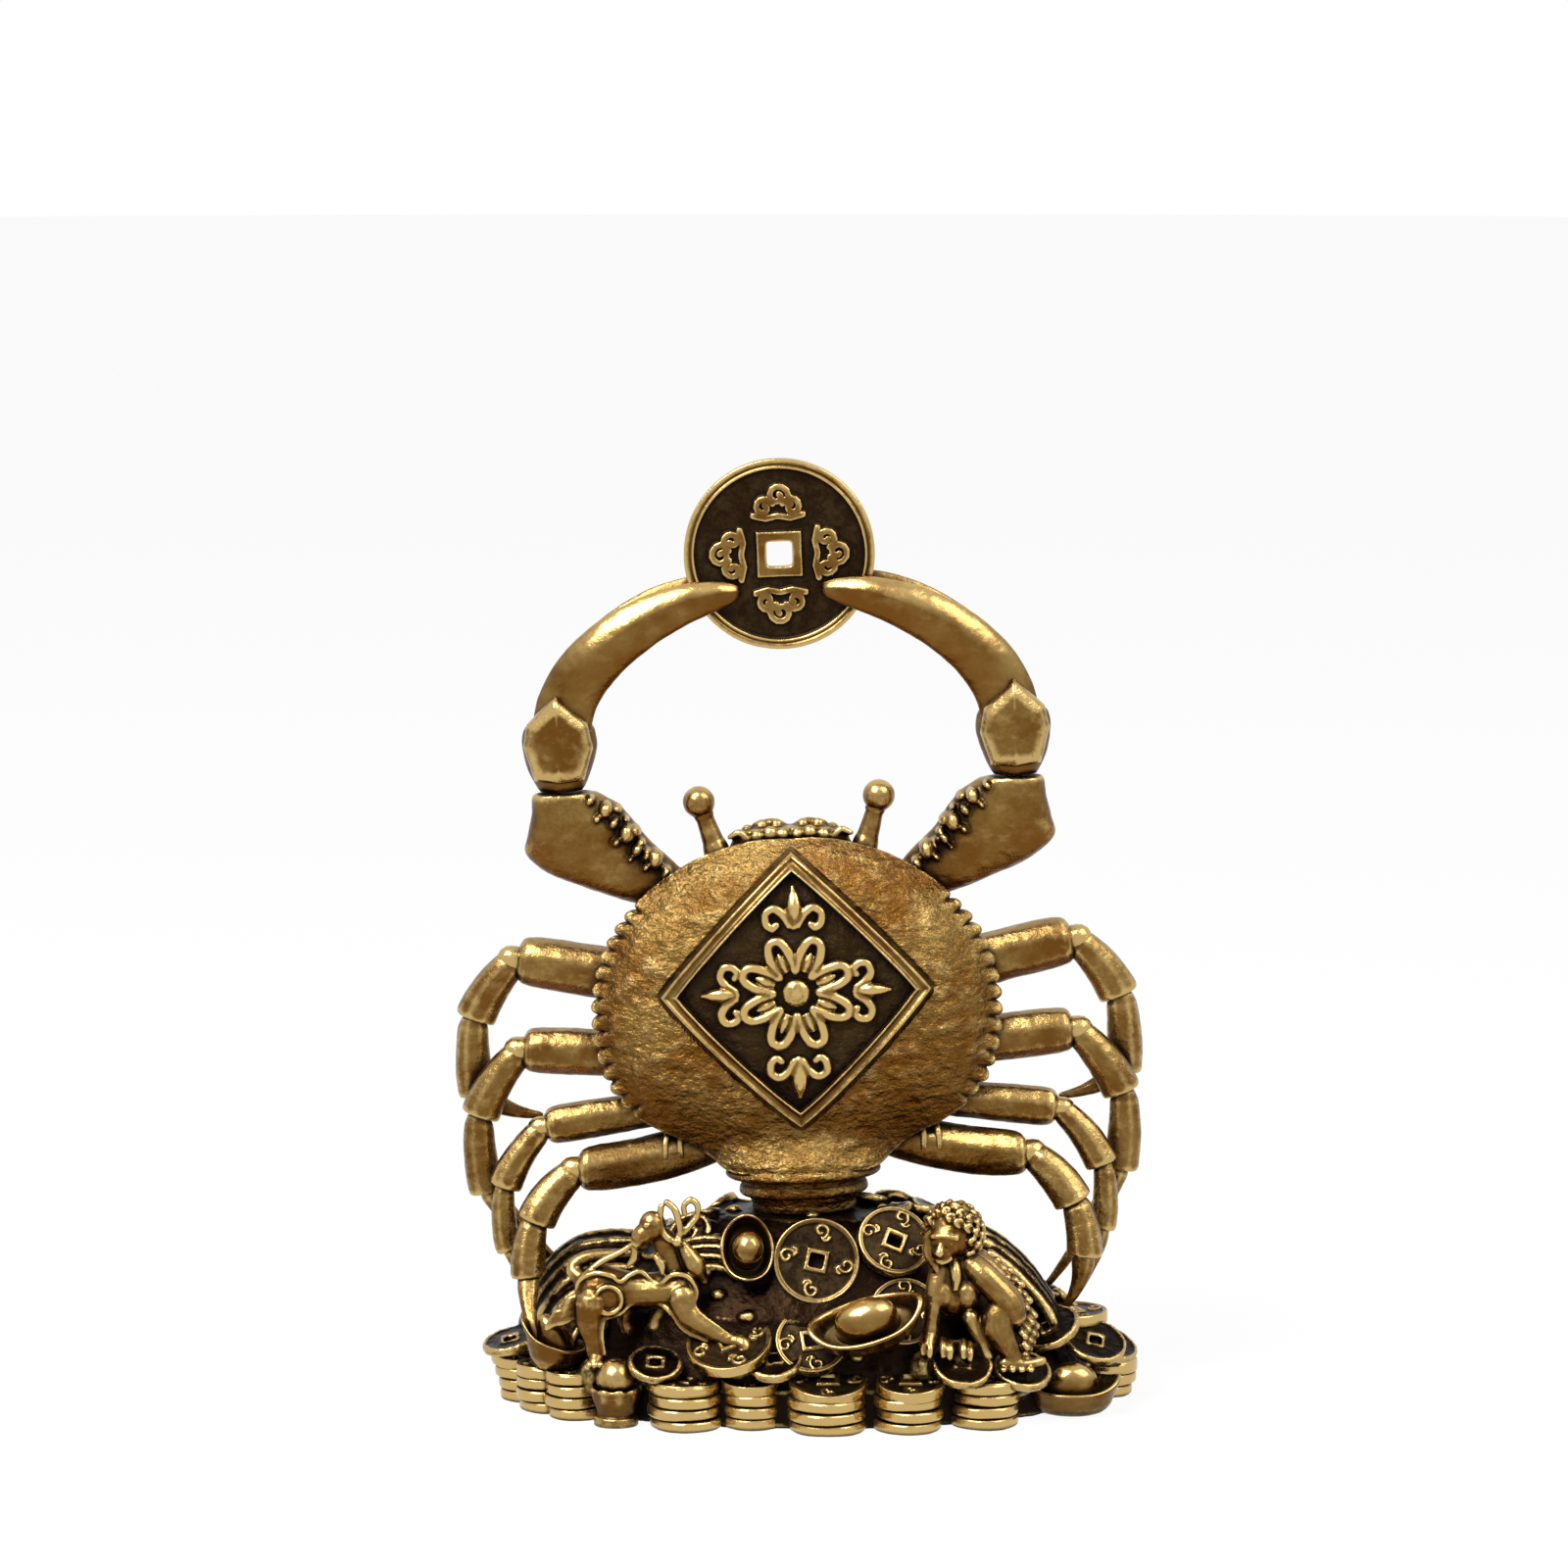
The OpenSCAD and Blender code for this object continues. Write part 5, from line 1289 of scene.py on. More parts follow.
# skull, muzzle and jaw, then nose, brows, eyes, mouth and a lock at the side
def manedHead():
    head = rightBeast["head"]
    return [
        lump(head, (2.75, 2.7, 2.85)),
        lump(faceAt(1.5, 0, 0, 0), (1.9, 1.7, 2.0)),
        lump(faceAt(2.7, 0, 0, -0.6), (1.15, 0.85, 0.85)),
        rod([faceAt(2.6, 0.1, 0, 1.0), faceAt(3.1, 0, 0, 0.3), faceAt(3.55, 0, 0, -0.3)], [0.36, 0.42, 0.52]),
        rod([faceAt(2.6, -1.35, 0.6, 0.75), faceAt(2.95, -0.6, 0.2, 1.1), faceAt(2.95, 0.6, -0.2, 1.15),
             faceAt(2.6, 1.4, -0.5, 0.85)], [0.3, 0.36, 0.36, 0.3]),
        lump(faceAt(2.75, -0.85, 0.4, 0.35), 0.36),
        lump(faceAt(2.75, 0.85, -0.35, 0.4), 0.36),
        rod([faceAt(2.8, -0.75, 0.4, -1.3), faceAt(3.1, 0, 0, -1.5), faceAt(2.8, 0.8, -0.3, -1.25)],
            [0.3, 0.34, 0.3]),
        rod([head + (-2.2, -1.0, -0.4), head + (-2.3, -1.3, -2.2), head + (-1.6, -1.4, -4.0)],
            [0.95, 0.85, 0.4]),
    ]


def manedBody():
    return [
        rod([(16.5, -11.9, 18.2), (16.2, -12.4, 15.8), (16.0, -12.9, 13.5)], [2.1, 2.35, 2.1]),
        lump((15.0, -14.1, 13.9), (1.35, 1.15, 1.5)),
        lump((17.4, -14.1, 13.9), (1.45, 1.2, 1.55)),
        rod([(16.1, -14.2, 17.2), (16.3, -14.9, 16.0), (16.2, -15.0, 14.8)], [0.7, 0.6, 0.35]),
        rod([(14.7, -13.3, 16.4), (14.1, -14.2, 13.9), (13.7, -14.9, 11.6), (13.5, -15.3, 9.9)],
            [1.25, 1.05, 0.85, 0.9]),
        rod([(13.5, -15.3, 9.9), (13.3, -16.2, 9.1)], [0.9, 0.75]),
        rod([(17.9, -13.4, 16.9), (19.6, -14.2, 15.5), (21.7, -14.7, 13.4), (22.4, -14.6, 11.8)],
            [1.45, 1.5, 1.5, 1.2]),
        rod([(21.3, -14.2, 12.9), (20.5, -14.6, 10.9), (21.4, -14.7, 8.9), (22.4, -14.6, 7.2)],
            [1.7, 1.75, 1.35, 0.95]),
        rod([(21.4, -14.9, 6.7), (23.4, -14.7, 6.5), (25.1, -14.1, 6.8)], [0.85, 0.95, 0.7], flat=0.75),
        rod([(17.5, -10.8, 16.6), (19.8, -10.8, 15.2), (21.8, -11.2, 12.8), (22.8, -11.6, 10.2)],
            [2.0, 2.0, 1.8, 1.3]),
        rod([(17.8, -14.5, 11.6), (18.8, -14.8, 9.6), (19.6, -15.0, 7.6)], [0.9, 0.7, 0.6]),
    ]


# short curls spread evenly over the head, none on the face
def mane():
    b = rightBeast
    head = b["head"]
    s = []
    for k in range(b["hair"]):
        z = 1 - 2 * (k + 0.5) / b["hair"]
        a = k * b["goldenAngle"]
        d = np.array([math.sqrt(1 - z * z) * math.cos(a), math.sqrt(1 - z * z) * math.sin(a), z])
        if d.dot(b["face"]) > 0.5:
            continue
        across = unitRows(np.cross(d, (0.3, -0.2, 1.0)))
        down = np.cross(d, across)
        s.append(rod([
            head + d * 2.8 - across * 0.5, head + d * 3.15 - down * 0.3, head + d * 3.1 + across * 0.42,
            head + d * 2.95 + down * 0.36, head + d * 2.8 - across * 0.1,
        ], [0.2, 0.29, 0.3, 0.27, 0.2], around=10, count=22))
    return s


def wing():
    b = rightBeast
    s = []
    for k, at in enumerate(curveThrough(b["wingLine"], b["wingPoints"])):
        for row in range(b["wingRows"]):
            spot = at + np.array([-0.35, -0.55, -0.62]) * row + np.array([0.15, 0, 0.3]) * (k % 2)
            s.append(lump(spot, (0.5, 0.55, 0.42), (0, 40, 0), around=12))
    return s


def buildManedBeast():
    s = manedHead() + manedBody() + mane() + wing()
    for x, y, z in rightBeast["toes"]:
        line = [(x, y + 0.9, z + 0.9), (x, y, z + 0.3), (x, y - 0.4, z - 0.5)]
        s.append(rod(line, [0.38, 0.42, 0.3], around=10))
    for k in range(4):
        s.append(lump((21.2 + 0.95 * k, -15.6 + 0.1 * k, 6.3 - 0.02 * k), (0.42, 0.6, 0.36)))
    cast("manedBeast", s, "beastBrass", "bright_brass", "right_beast", 0.9, 85, beastVoxel)


buildHornedBeast()
buildManedBeast()
print("beasts built")


# crab: belly, foot, eyes and mouth
def buildBelly():
    plates = []
    for k in range(6):
        w = 11 + 3.1 * k
        half = 4.6 + 1.1 * math.sin(k * 0.62)
        u = np.linspace(-half, half, 9)
        line = ringOf(u, 5.1 - 0.12 * (u / half) ** 2 * 8 * 0.5, w + 0.6 * np.cos(u / half * 1.4))
        plates.append(slim(line, 0.62, 34))
    a = np.linspace(0, 1, 6)
    for side, word in hands:
        for k in range(4):
            line = ringOf(side * (6.4 + 10.5 * a), 5.0 - 3.2 * a**2, 32 - 5.6 * k + (2.4 - 1.5 * k) * a)
            plates.append(slim(line, 0.55, 30))
    shells = [solidShell("belly_shell")] + onCrab(plates)
    cast("bellyCasting", shells, "legBrass", "leg_brass", "belly_shell", 1.6, 90, 0.24)


# rings: height of the middle and share of the half widths
foot = dict(
    halfW=8.25, halfD=5.6, height=5.0, rings=((0.62, 0.67), (2.5, 0.83), (4.35, 1.0)), ringHalf=0.66,
    neckHalfW=6.6, neckMiddle=2.2, neckHalfD=2.0, neckFrom=5.0, neckTo=7.6, peg=3.4, pegFrom=-6.0, pegTo=0.5,
)


def footShare(height):
    f = foot
    core = 0.6 + 0.062 * height
    share = core
    for middle, scale in f["rings"]:
        t = (height - middle) / f["ringHalf"]
        if abs(t) < 1:
            share = max(share, core + (scale - core) * (1 - t * t) ** 0.5)
    return share


def buildFoot():
    f = foot
    a = fullTurn(160)
    heights = np.linspace(0.02, f["height"], 90)
    rows = [(0.0, 0.05), *((h, footShare(h)) for h in heights), (f["height"] + 0.02, 0.05)]
    rings = [ovalRing(a, f["halfW"] * share, f["halfD"] * share, height) for height, share in rows]
    u = power(np.cos(a), 0.35) * f["neckHalfW"]
    v = f["neckMiddle"] + power(np.sin(a), 0.35) * f["neckHalfD"]
    neck = [ringOf(u, v, height) for height in (f["neckFrom"], f["neckTo"])]
    peg = [ovalRing(a, f["peg"], f["peg"], height) for height in (f["pegFrom"], f["pegTo"])]
    shells = onCrab([skin(rings), skin(neck), skin(peg)])
    cast("ringedFoot", shells, "shellBrass", "shell_brass", "ringed_foot", 0.8, 92)


eyes = dict(low=(7.1, 1.5, 36.2), top=(9.5, 1.5, 43.9), ball=1.7)


def buildEyes():
    low, top = np.array(eyes["low"]), np.array(eyes["top"])
    way = top - low

    def at(*shares):
        return [low + way * t for t in shares]

    for side, word in hands:
        shells = [
            rod(at(0, 0.25, 0.5, 0.75, 0.9), [1.25, 1.3, 1.12, 0.95, 0.9], around=24, count=40),
            lump(top, eyes["ball"], around=40),
            ringLoop(*at(0.8), 0.92, (way[0], 0, way[2]), 0.16),
            rod(at(0.3, 0.36), [1.42, 1.36], around=24),
        ]
        node = word + "_eye_stalk"
        cast(word + "Eye", onCrab(shells, side), "brightBrass", "leg_brass", node, 0.7, 95, 0.14, 3)


# across, depth, height and radius, mirrored to the other side
mouthLumps = [
    (0.8, -0.1, 40.3, 0.72), (2.1, -0.2, 40.5, 0.8), (3.5, -0.1, 40.2, 0.75), (4.8, 0.1, 39.8, 0.7),
    (5.9, 0.4, 39.1, 0.6), (1.4, 1.4, 41.1, 0.7), (3.0, 1.5, 41.0, 0.75), (4.5, 1.6, 40.6, 0.65),
]
mouthBars = [
    ([(0.4, 2.4, 40.6), (1.8, 2.2, 41.2), (3.6, 2.3, 41.0)], (0.5, 0.55, 0.4)),
    ([(4.6, 0.2, 39.9), (5.4, 0.1, 40.6), (6.4, 0.2, 40.2)], (0.45, 0.42, 0.3)),
]


def buildMouth():
    lumps = []
    for side, word in hands:
        for u, v, w, r in mouthLumps:
            lumps.append(lump((side * u, v + 0.4, w - 0.1), (r, r * 0.9, r * 1.05), around=16))
        for line, thick in mouthBars:
            lumps.append(rod(np.array(line) * (side, 1, 1), thick))
    shells = [solidShell("mouth_plate")] + onCrab(lumps)
    cast("mouthParts", shells, "legBrass", "leg_brass", "mouth_plate", 1.2, 97, 0.15)


buildBelly()
buildFoot()
buildEyes()
buildMouth()
print("belly, foot, eyes and mouth built")

# limbs: skins over sections across a path in the crab's plane
# facets of a leg's section, from its outer edge over the crest and the front to the back
legSection = [
    (1.0, 0.05), (0.88, -0.6), (0.38, -1.0), (-0.5, -0.9), (-0.97, -0.3), (-0.85, 0.55), (0.0, 1.0),
    (0.82, 0.66),
]


def sectionRing(around):
    rows = np.array(legSection + legSection[:1])
    run = np.concatenate([[0], np.cumsum(np.linalg.norm(np.diff(rows, axis=0), axis=1))])
    t = np.linspace(0, run[-1], around, endpoint=False)
    c, d = (np.interp(t, run, rows[:, i]) for i in (0, 1))
    for k in range(2):
        c, d = ((np.roll(x, 1) + 2 * x + np.roll(x, -1)) / 4 for x in (c, d))
    return c, d


# rows: across, height, depth, half width, front depth, back depth, corner, ridge
def limbSkin(rows, count, around=52):
    p = curveThrough(rows, count)
    path = p[:, :2]
    along = unitRows(np.gradient(path, axis=0))
    side = np.column_stack([-along[:, 1], along[:, 0]])
    a = fullTurn(around)
    rings = []
    for k in range(count):
        half, front, back = np.maximum(p[k, 3:6], 0.05)
        corner, ridge = p[k, 6:]
        if corner:
            c = power(np.cos(a), 2 / corner)
            d = power(np.sin(a), 2 / corner)
        else:
            c, d = sectionRing(around)
        depth = np.where(d < 0, d * front, d * back)
        shift = ridge * half * np.clip(-d, 0, 1) * (1 - np.abs(c) * 0.5)
        point = path[k] + np.outer(c * half + shift, side[k])
        rings.append(ringOf(point[:, 0], p[k, 2] + depth, point[:, 1]))
    return skin(rings)


# barrel along a bent line; swell's rows are the share along it and the share of its half width there
def barrel(a, bend, c, va, vc, halfA, halfC, swell, deep=0.9, count=64):
    t = np.linspace(0, 1, count)
    b = t[:, None]
    path = (1 - b) ** 2 * a + 2 * b * (1 - b) * bend + b**2 * c
    half = (halfA + (halfC - halfA) * t) * np.interp(t, *zip(*swell))
    flat = np.zeros(count)
    rows = np.column_stack([path, va + (vc - va) * t, half, half * deep, half * deep * 0.8, flat, flat])
    return limbSkin(rows, count)


def stepAt(angle, length):
    return np.array([math.cos(math.radians(angle)), math.sin(math.radians(angle))]) * length


def bulged(a, c, bulge):
    d = (c - a) / np.linalg.norm(c - a)
    return (a + c) / 2 + np.array([-d[1], d[0]]) * bulge


# one value a leg, from the top leg down
legs = dict(
    drop=[-0.8, 7.3, 12.9, 16.2], hipInset=4.5,
    upperLength=[12.7, 12.8, 13.7, 16], upperAngle=[11.5, 4.5, -6.7, -9], upperSag=[0.2, 0, 0, -1.6],
    middleLength=[8.2, 8.8, 7.9, 7.1], middleAngle=[-53, -55, -54, -48],
    shinLength=[8.6, 8.5, 6.8, 5.7], shinAngle=[-89, -93, -92.5, -81],
    rootHalf=[3, 2.6, 1.95, 2.7], kneeHalf=[2.45, 2.3, 2, 2.3],
    middleHalf=[1.95, 1.9, 1.6, 1.9], shinHalf=[1.9, 1.8, 1.35, 1.8],
    depths=[(2.7, 3.2, 4.6, 6.6), (2.7, 2.7, 3.4, 4.6), (2.4, 1.6, 1.4, 0.9), (3.3, -1.2, -2.6, -3.6)],
    tipReach=[0, 0.7, 0.78, 0.75], tipY=[0, 5.6, 1, -3.4], tipLift=0.65, ledgeTop=9.5,
    # the last left leg stands on the left ingot: its place, its height and the lift of the tip
    ingotTip=(-25.4 - 2, -8.8 - 0.2, 5.15 + 2.16 + 0.65),
)
upperSwell = [
    (0, 0.92), (0.06, 0.97), (0.3, 1.02), (0.65, 1.08), (0.86, 1.08), (0.94, 1.03), (0.975, 0.92), (1, 0.66)
]
lowerSwell = [
    (0, 0.5), (0.04, 0.72), (0.15, 0.9), (0.45, 1.04), (0.75, 1.13), (0.93, 1.16), (0.97, 1.12), (0.985, 1.0),
    (1, 0.75),
]
toeSwell = [(0, 0.7), (0.05, 0.9), (0.2, 1.0), (0.6, 0.92), (0.95, 1.0), (1, 0.6)]


# half width of the shell at a drop below its middle
def shellSide(drop):
    p, b = (3, 17.4) if drop > 0 else (2, 15.7)
    return 21.5 * (1 - (abs(drop) / b) ** p) ** (1 / p)


def legLine(i):
    g = legs
    drop = g["drop"][i]
    hip = np.array([shellSide(drop) - g["hipInset"], shell["middle"] - drop])
    knee = hip + stepAt(g["upperAngle"][i], g["upperLength"][i])
    elbow = knee + stepAt(g["middleAngle"][i], g["middleLength"][i])
    ankle = elbow + stepAt(g["shinAngle"][i], g["shinLength"][i])
    return hip, knee, elbow, ankle


def legTip(side, i):
    g = legs
    if i == 0:
        knee = legLine(2)[1]
        return np.array([knee[0] + 0.4, 5.2, knee[1] + 0.6])
    if i == 3 and side < 0:
        return crabPoint(g["ingotTip"]) * (-1, 1, 1)
    x = mound["centre"] + side * g["tipReach"][i] * stackCoin["halfW"]
    y = g["tipY"][i]
    (ledgeX, ledgeY, ledgeZ), tilt, ledgeRadius = leaningCoins["ledge_coin"]
    z = g["ledgeTop"] if math.hypot(x - ledgeX, y - ledgeY) < ledgeRadius else float(moundHeight(x, y))
    return crabPoint((x, y, z + g["tipLift"])) * (side, 1, 1)


# raised rings round the root of the last leg
def rootRings(hip, knee, v):
    shells = []
    for t, thick in ((0.3, 0.42), (0.4, 0.34)):
        m = hip + (knee - hip) * t
        arc = np.linspace(-1.0, 1.0, 9)
        depth = v[0] + (v[1] - v[0]) * t - 2.15 * np.cos(arc * 1.3)
        line = ringOf(m[0] + 0.8 * np.cos(arc * 1.5) - 0.5, depth, m[1] + 2.2 * np.sin(arc * 1.4))
        shells.append(slim(line, thick, 30))
    return shells


def upperLeg(i):
    g = legs
    hip, knee = legLine(i)[:2]
    v = g["depths"][i]
    bend = bulged(hip, knee, g["upperSag"][i])
    half = g["rootHalf"][i], g["kneeHalf"][i]
    shells = [barrel(hip, bend, knee, v[0], v[1], *half, upperSwell, deep=0.88, count=90)]
    return shells + rootRings(hip, knee, v) if i == 3 else shells


def lowerLeg(side, i):
    g = legs
    hip, knee, elbow, ankle = legLine(i)
    tip = legTip(side, i)
    toe = tip[[0, 2]]
    v = g["depths"][i]
    way = unitRows(knee - bulged(hip, knee, g["upperSag"][i]))
    start = knee + way * 0.15
    middle, shin = g["middleHalf"][i], g["shinHalf"][i]
    shinFrom = elbow - stepAt(g["shinAngle"][i], 0.5)
    toeFrom = ankle - stepAt(g["shinAngle"][i], 0.45)
    pin = rod([(*(knee - way * 1.2), v[1]), (*(knee + way * 0.8), v[1])], middle * 0.72)
    return [
        barrel(start, bulged(start, elbow, 1.0), elbow, v[1], v[2], middle, middle, lowerSwell),
        barrel(shinFrom, bulged(elbow, ankle, 0.7), ankle, v[2], v[3], shin, shin * 0.95, lowerSwell),
        barrel(toeFrom, bulged(ankle, toe, 1.0), toe, v[3], tip[1], shin * 0.8, 0.34, toeSwell),
        moved(pin, lambda p: p[:, [0, 2, 1]]),
    ]


def buildLegs():
    for side, word in hands:
        for i in range(4):
            piece, node = f"{word}Leg{i + 1}", f"{word}_leg_{i + 1}"
            shells = onCrab(upperLeg(i), side)
            cast(piece + "Upper", shells, "legBrass", "leg_brass", node + "_upper", 1.2, 100 + i)
            shells = onCrab(lowerLeg(side, i), side)
            cast(piece + "Lower", shells, "legBrass", "leg_brass", node + "_lower", 1.0, 110 + i)


buildLegs()
print("legs built")

# claws
claw = dict(
    wrist=23.85, wristLow=45.9, wristHeight=7.2, tipAcross=4.2, coinMiddle=70,
    frontRoot=-0.85, backRoot=1.95, fingerHalf=3.1, grip=1.2, tipHalf=0.22,
)
wristTop = claw["wristLow"] + claw["wristHeight"]


# rows: two edge points, depth, half depth
def edgeLimb(rows, corner, ridge=0.0, count=70, around=56):
    p = curveThrough([(*a, *b, v, d) for a, b, v, d in rows], count)
    t = fullTurn(around)
    c = power(np.cos(t), 2 / corner)
    d = power(np.sin(t), 2 / corner)
    k = c + ridge * np.clip(-d, 0, 1) * (1 - 0.5 * np.abs(c))
    rings = []
    for au, aw, bu, bw, v, deep in p:
        across = (au + bu) / 2 + (au - bu) / 2 * k
        up = (aw + bw) / 2 + (aw - bw) / 2 * k
        rings.append(ringOf(across, v + d * deep, up))
    return skin(rings)


armRows = [
    ((11.2, 36.2), (13.6, 31.9), 2.7, 2), ((12.9, 38), (16.6, 33.2), 2.6, 2.1),
    ((15.1, 40.2), (20.8, 34.8), 2, 2.4), ((16.8, 42.7), (25.4, 36.9), 1.2, 2.7),
    ((18.2, 44.3), (27.8, 39.2), 0.6, 2.8), ((19.1, 44.9), (27.6, 41.2), 0.4, 2.8),
    ((20.0, 45.5), (27.1, 43.6), 0.2, 2.7), ((20.6, 45.65), (26.9, 45.4), 0.05, 2.55),
    ((21.2, 45.72), (26.2, 45.65), 0, 2.1),
]
# across, height, radius and half depth along the inner edge
edgeLumps = [
    (12.9, 37.3, 0.75, 1.3), (13.9, 38.9, 0.95, 1.6), (15.5, 40.3, 0.7, 1.2), (16.1, 41.6, 0.95, 1.7),
    (17.2, 42.6, 0.6, 1.1), (17.9, 44.0, 0.85, 1.5), (19.3, 45.0, 0.6, 1.2), (14.8, 39.4, 0.5, 2.0),
    (16.9, 42.9, 0.5, 2.0),
]
# across, height, radius and depth on the arm's front
frontLumps = [
    (13.2, 36.7, 0.8, 0.7), (14.3, 38.1, 1.1, 0.4), (16.2, 39.3, 0.75, 0.2), (17.2, 41.1, 1.1, -0.2),
    (18.5, 42.3, 0.7, -0.6), (19.3, 43.8, 1.0, -0.8), (20.9, 44.9, 0.7, -1.0), (15.3, 37.4, 0.55, 0.3),
    (18.3, 40.3, 0.55, -0.6), (15.2, 38.6, 0.5, 0.1), (20.2, 42.9, 0.55, -0.9), (16.9, 38.4, 0.4, 0.0),
]


def armShells():
    shells = [edgeLimb(armRows, corner=2.1, ridge=-0.25)]
    for u, w, r, deep in edgeLumps:
        shells.append(lump((u + 0.3, 0.7, w - 0.3), (r * 0.85, deep, r * 0.7), (0, -40, 0), around=18))
    for u, w, r, v in frontLumps:
        shells.append(lump((u, v, w), (r, 1.5, r * 0.75), (0, 20 + 60 * r, 0), around=18))
    return shells


# inner and outer edge from the wrist's middle, height over its foot, half depth
wristRows = [
    (-2.2, 0, 2.3, 0, 2.1), (-2.6, 0.6, 2.8, 0.8, 2.6), (-3.2, 2, 3.5, 2.4, 2.9), (-3.9, 4.4, 3.95, 4.8, 3.0),
    (-3.8, 6.2, 3.8, 6.3, 2.95), (-3.3, 7.2, 3.2, 7.2, 2.6),
]
plateOutline = [
    (-3.55, -2.6), (-2.5, -6.0), (0.1, -6.35), (2.7, -5.9), (3.75, -2.2), (3.3, 0.1), (0.15, 3.3), (-3.1, 0.1)
]
# share of the outline, depth, and share of the ridge up its middle
plateSteps = [
    (0.02, -1.6, 0), (0.93, -1.6, 0), (1.0, -2.1, 0), (0.985, -2.5, 0), (0.93, -2.75, 0.5), (0.86, -2.85, 1),
    (0.6, -2.9, 1), (0.3, -2.9, 1), (0.02, -2.9, 1),
]


# many-sided plate on the wrist's front, with a ridge up its middle
def wristPlate():
    x = claw["wrist"]
    rows = np.array(plateOutline + plateOutline[:1])
    t = np.linspace(0, len(plateOutline), 12 * len(plateOutline), endpoint=False)
    u, w = (np.interp(t, np.arange(len(rows)), rows[:, i]) for i in (0, 1))
    rings = []
    for shrink, v, fold in plateSteps:
        ridge = fold * 1.15 * (1 - np.abs(u - 0.15) * shrink / 3.8)
        rings.append(ringOf(x + u * shrink, v - ridge, wristTop - 2.1 + (w + 2.1) * shrink))
    return skin(rings)


def wristShells():
    x, low = claw["wrist"], claw["wristLow"]
    rows = [((x + au, low + aw), (x + bu, low + bw), 0, deep) for au, aw, bu, bw, deep in wristRows]
    return [edgeLimb(rows, corner=1.6), wristPlate()]


def fingerShell(lift, thin, deep, root, face, corner, ridge):
    u, m = claw["wrist"] - 0.35, claw["coinMiddle"] + lift
    q = np.array([
        (u, wristTop - 1.3), (u, wristTop + 5.9 + lift), (13.9, m - 4), (claw["tipAcross"], m - 3.8)
    ])
    t = np.linspace(0, 1, 110)
    b = t[:, None]
    path = (1 - b) ** 3 * q[0] + 3 * b * (1 - b) ** 2 * q[1] + 3 * b**2 * (1 - b) * q[2] + b**3 * q[3]
    taper = np.sqrt(np.clip(1 - t**2.4, 0, 1))
    half = (claw["tipHalf"] + (claw["fingerHalf"] - claw["tipHalf"]) * taper) * thin
    half = half * smoothStep(t * 30 + 0.35)
    depth = half * deep
    v = root + (face * (claw["grip"] + depth) - root) * smoothStep(t * 1.6)
    rows = np.column_stack([path, v, half, depth, depth, np.full(110, corner), np.full(110, ridge)])
    return limbSkin(rows, 110, 64)


def buildClaws():
    front = fingerShell(0, 1, 0.58, claw["frontRoot"], -1, 1.45, -0.18)
    back = fingerShell(1.1, 0.62, 0.42, claw["backRoot"], 1, 1.6, 0)
    for side, word in hands:
        arm, wrist = onCrab(armShells(), side), onCrab(wristShells(), side)
        over, behind = onCrab([front], side), onCrab([back], side)
        cast(word + "ClawArm", arm, "legBrass", "leg_brass", word + "_claw_arm", 1.5, 120, 0.17, 4)
        cast(word + "ClawWrist", wrist, "legBrass", "leg_brass", word + "_claw_wrist", 0.8, 124)
        cast(word + "FrontFinger", over, "brightBrass", "bright_brass", word + "_front_finger", 1.1, 127)
        cast(word + "BackFinger", behind, "legBrass", "leg_brass", word + "_back_finger", 1.0, 129)


buildClaws()
print("claws built")

# studio
studio = dict(
    focus=(-0.0016, 0, 0.0656), distance=0.6, elevation=7.5, lens=130.9, roomLight=0.3, floorGlow=0.93
)
lamps = dict(
    keyLight=dict(at=(-0.36, -0.42, 0.7), size=0.5, power=10.0),
    fillLight=dict(at=(0.5, -0.3, 0.62), size=0.5, power=3.0),
)


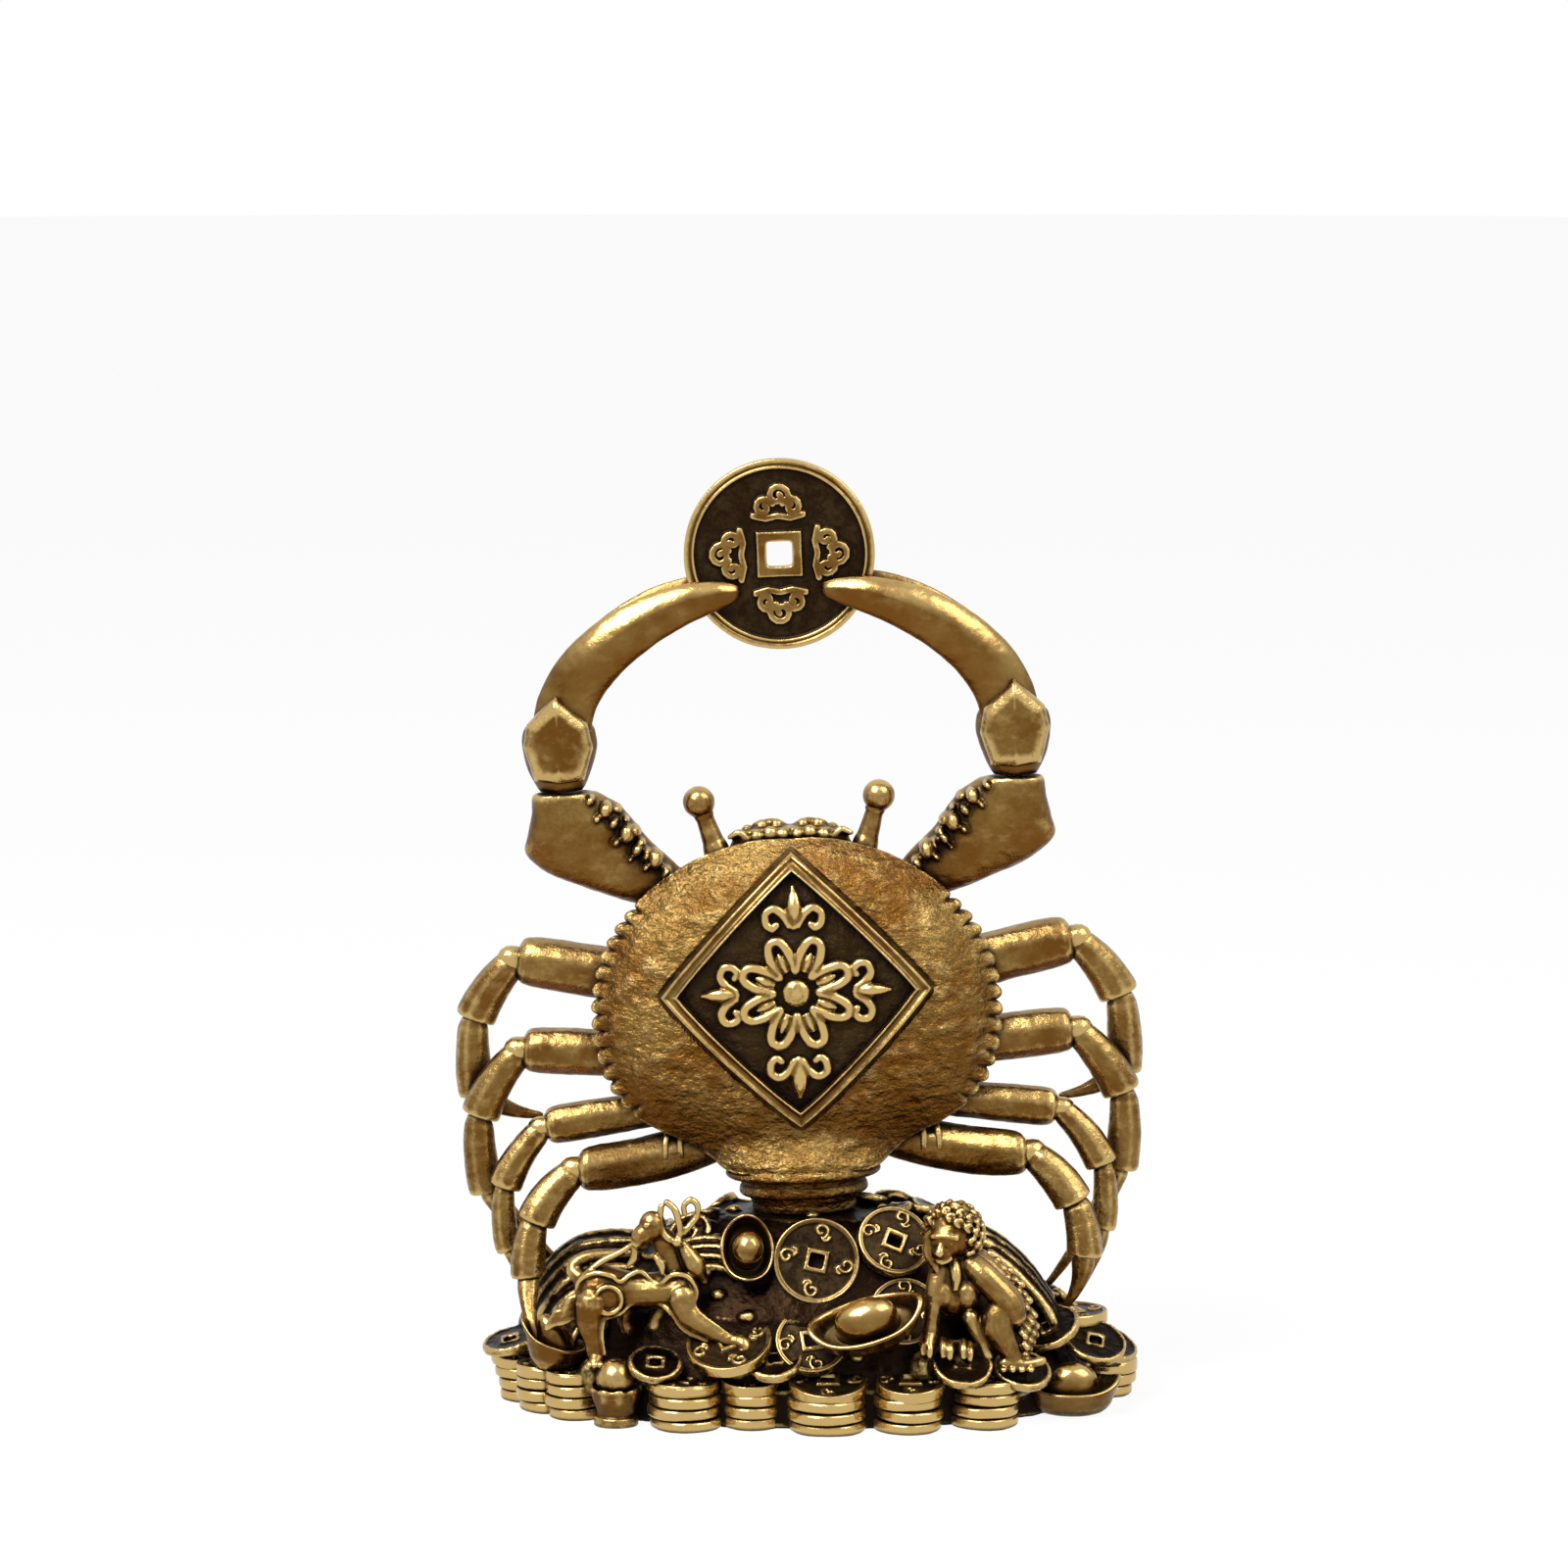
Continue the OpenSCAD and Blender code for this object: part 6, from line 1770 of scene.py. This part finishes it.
# 1 for camera, glossy and transmission rays
def seenRays(f):
    camera, glossy, through = (f.node("LightPath", output=output) for output in (0, 3, 6))
    return f.math("MINIMUM", camera + glossy + through, 1.0)


def buildRoom():
    world = bpy.data.worlds.new("whiteRoom")
    bpy.context.scene.world = world
    world.use_nodes = True
    f = Finish(world.node_tree)
    low = studio["roomLight"]
    strength = low + seenRays(f) * (1 - low)
    white = f.node("Background", None, {"Color": (1, 1, 1, 1), "Strength": strength})
    f.node("OutputWorld", None, {"Surface": white})


def buildFloor():
    mesh = bpy.data.meshes.new("floor")
    work = bmesh.new()
    bmesh.ops.create_circle(work, cap_ends=True, segments=96, radius=4.0)
    work.to_mesh(mesh)
    work.free()
    floor = newObject("studioFloor", mesh)
    paper, f = newFinish("paleFloor")
    fibre = f.noise(f.node("TexCoord", output=3), 900.0, 2.0)
    matte = f.node("BsdfDiffuse", None, {"Color": (0.9, 0.9, 0.9, 1), "Normal": f.bump(0.15, 0.0001, fibre)})
    glow = f.node("Emission", None, {"Color": (1, 1, 1, 1), "Strength": 1.0})
    mixed = f.node("MixShader", None, {0: seenRays(f) * studio["floorGlow"], 1: matte, 2: glow})
    f.node("OutputMaterial", None, {"Surface": mixed})
    mesh.materials.append(paper)


def buildLamps():
    for name, row in lamps.items():
        light = bpy.data.lights.new(name, "AREA")
        light.shape = "SQUARE"
        light.size = row["size"]
        light.energy = row["power"]
        lamp = newObject(name, light)
        lamp.location = row["at"]
        aim = Vector((0, 0, 0.05)) - Vector(row["at"])
        lamp.rotation_euler = aim.to_track_quat("-Z", "Y").to_euler()


def buildCamera():
    s = studio
    tilt = math.radians(s["elevation"])
    camera = bpy.data.cameras.new("camera")
    camera.lens = s["lens"]
    camera.sensor_width = 36
    camera.clip_start = 0.01
    camera.clip_end = 20
    holder = newObject("camera", camera)
    x, y, z = s["focus"]
    holder.location = (x, y - s["distance"] * math.cos(tilt), z + s["distance"] * math.sin(tilt))
    holder.rotation_euler = (math.radians(90) - tilt, 0, 0)
    bpy.context.scene.camera = holder
    bpy.context.scene.view_settings.view_transform = "Standard"


buildRoom()
buildFloor()
buildLamps()
buildCamera()
print("studio built")
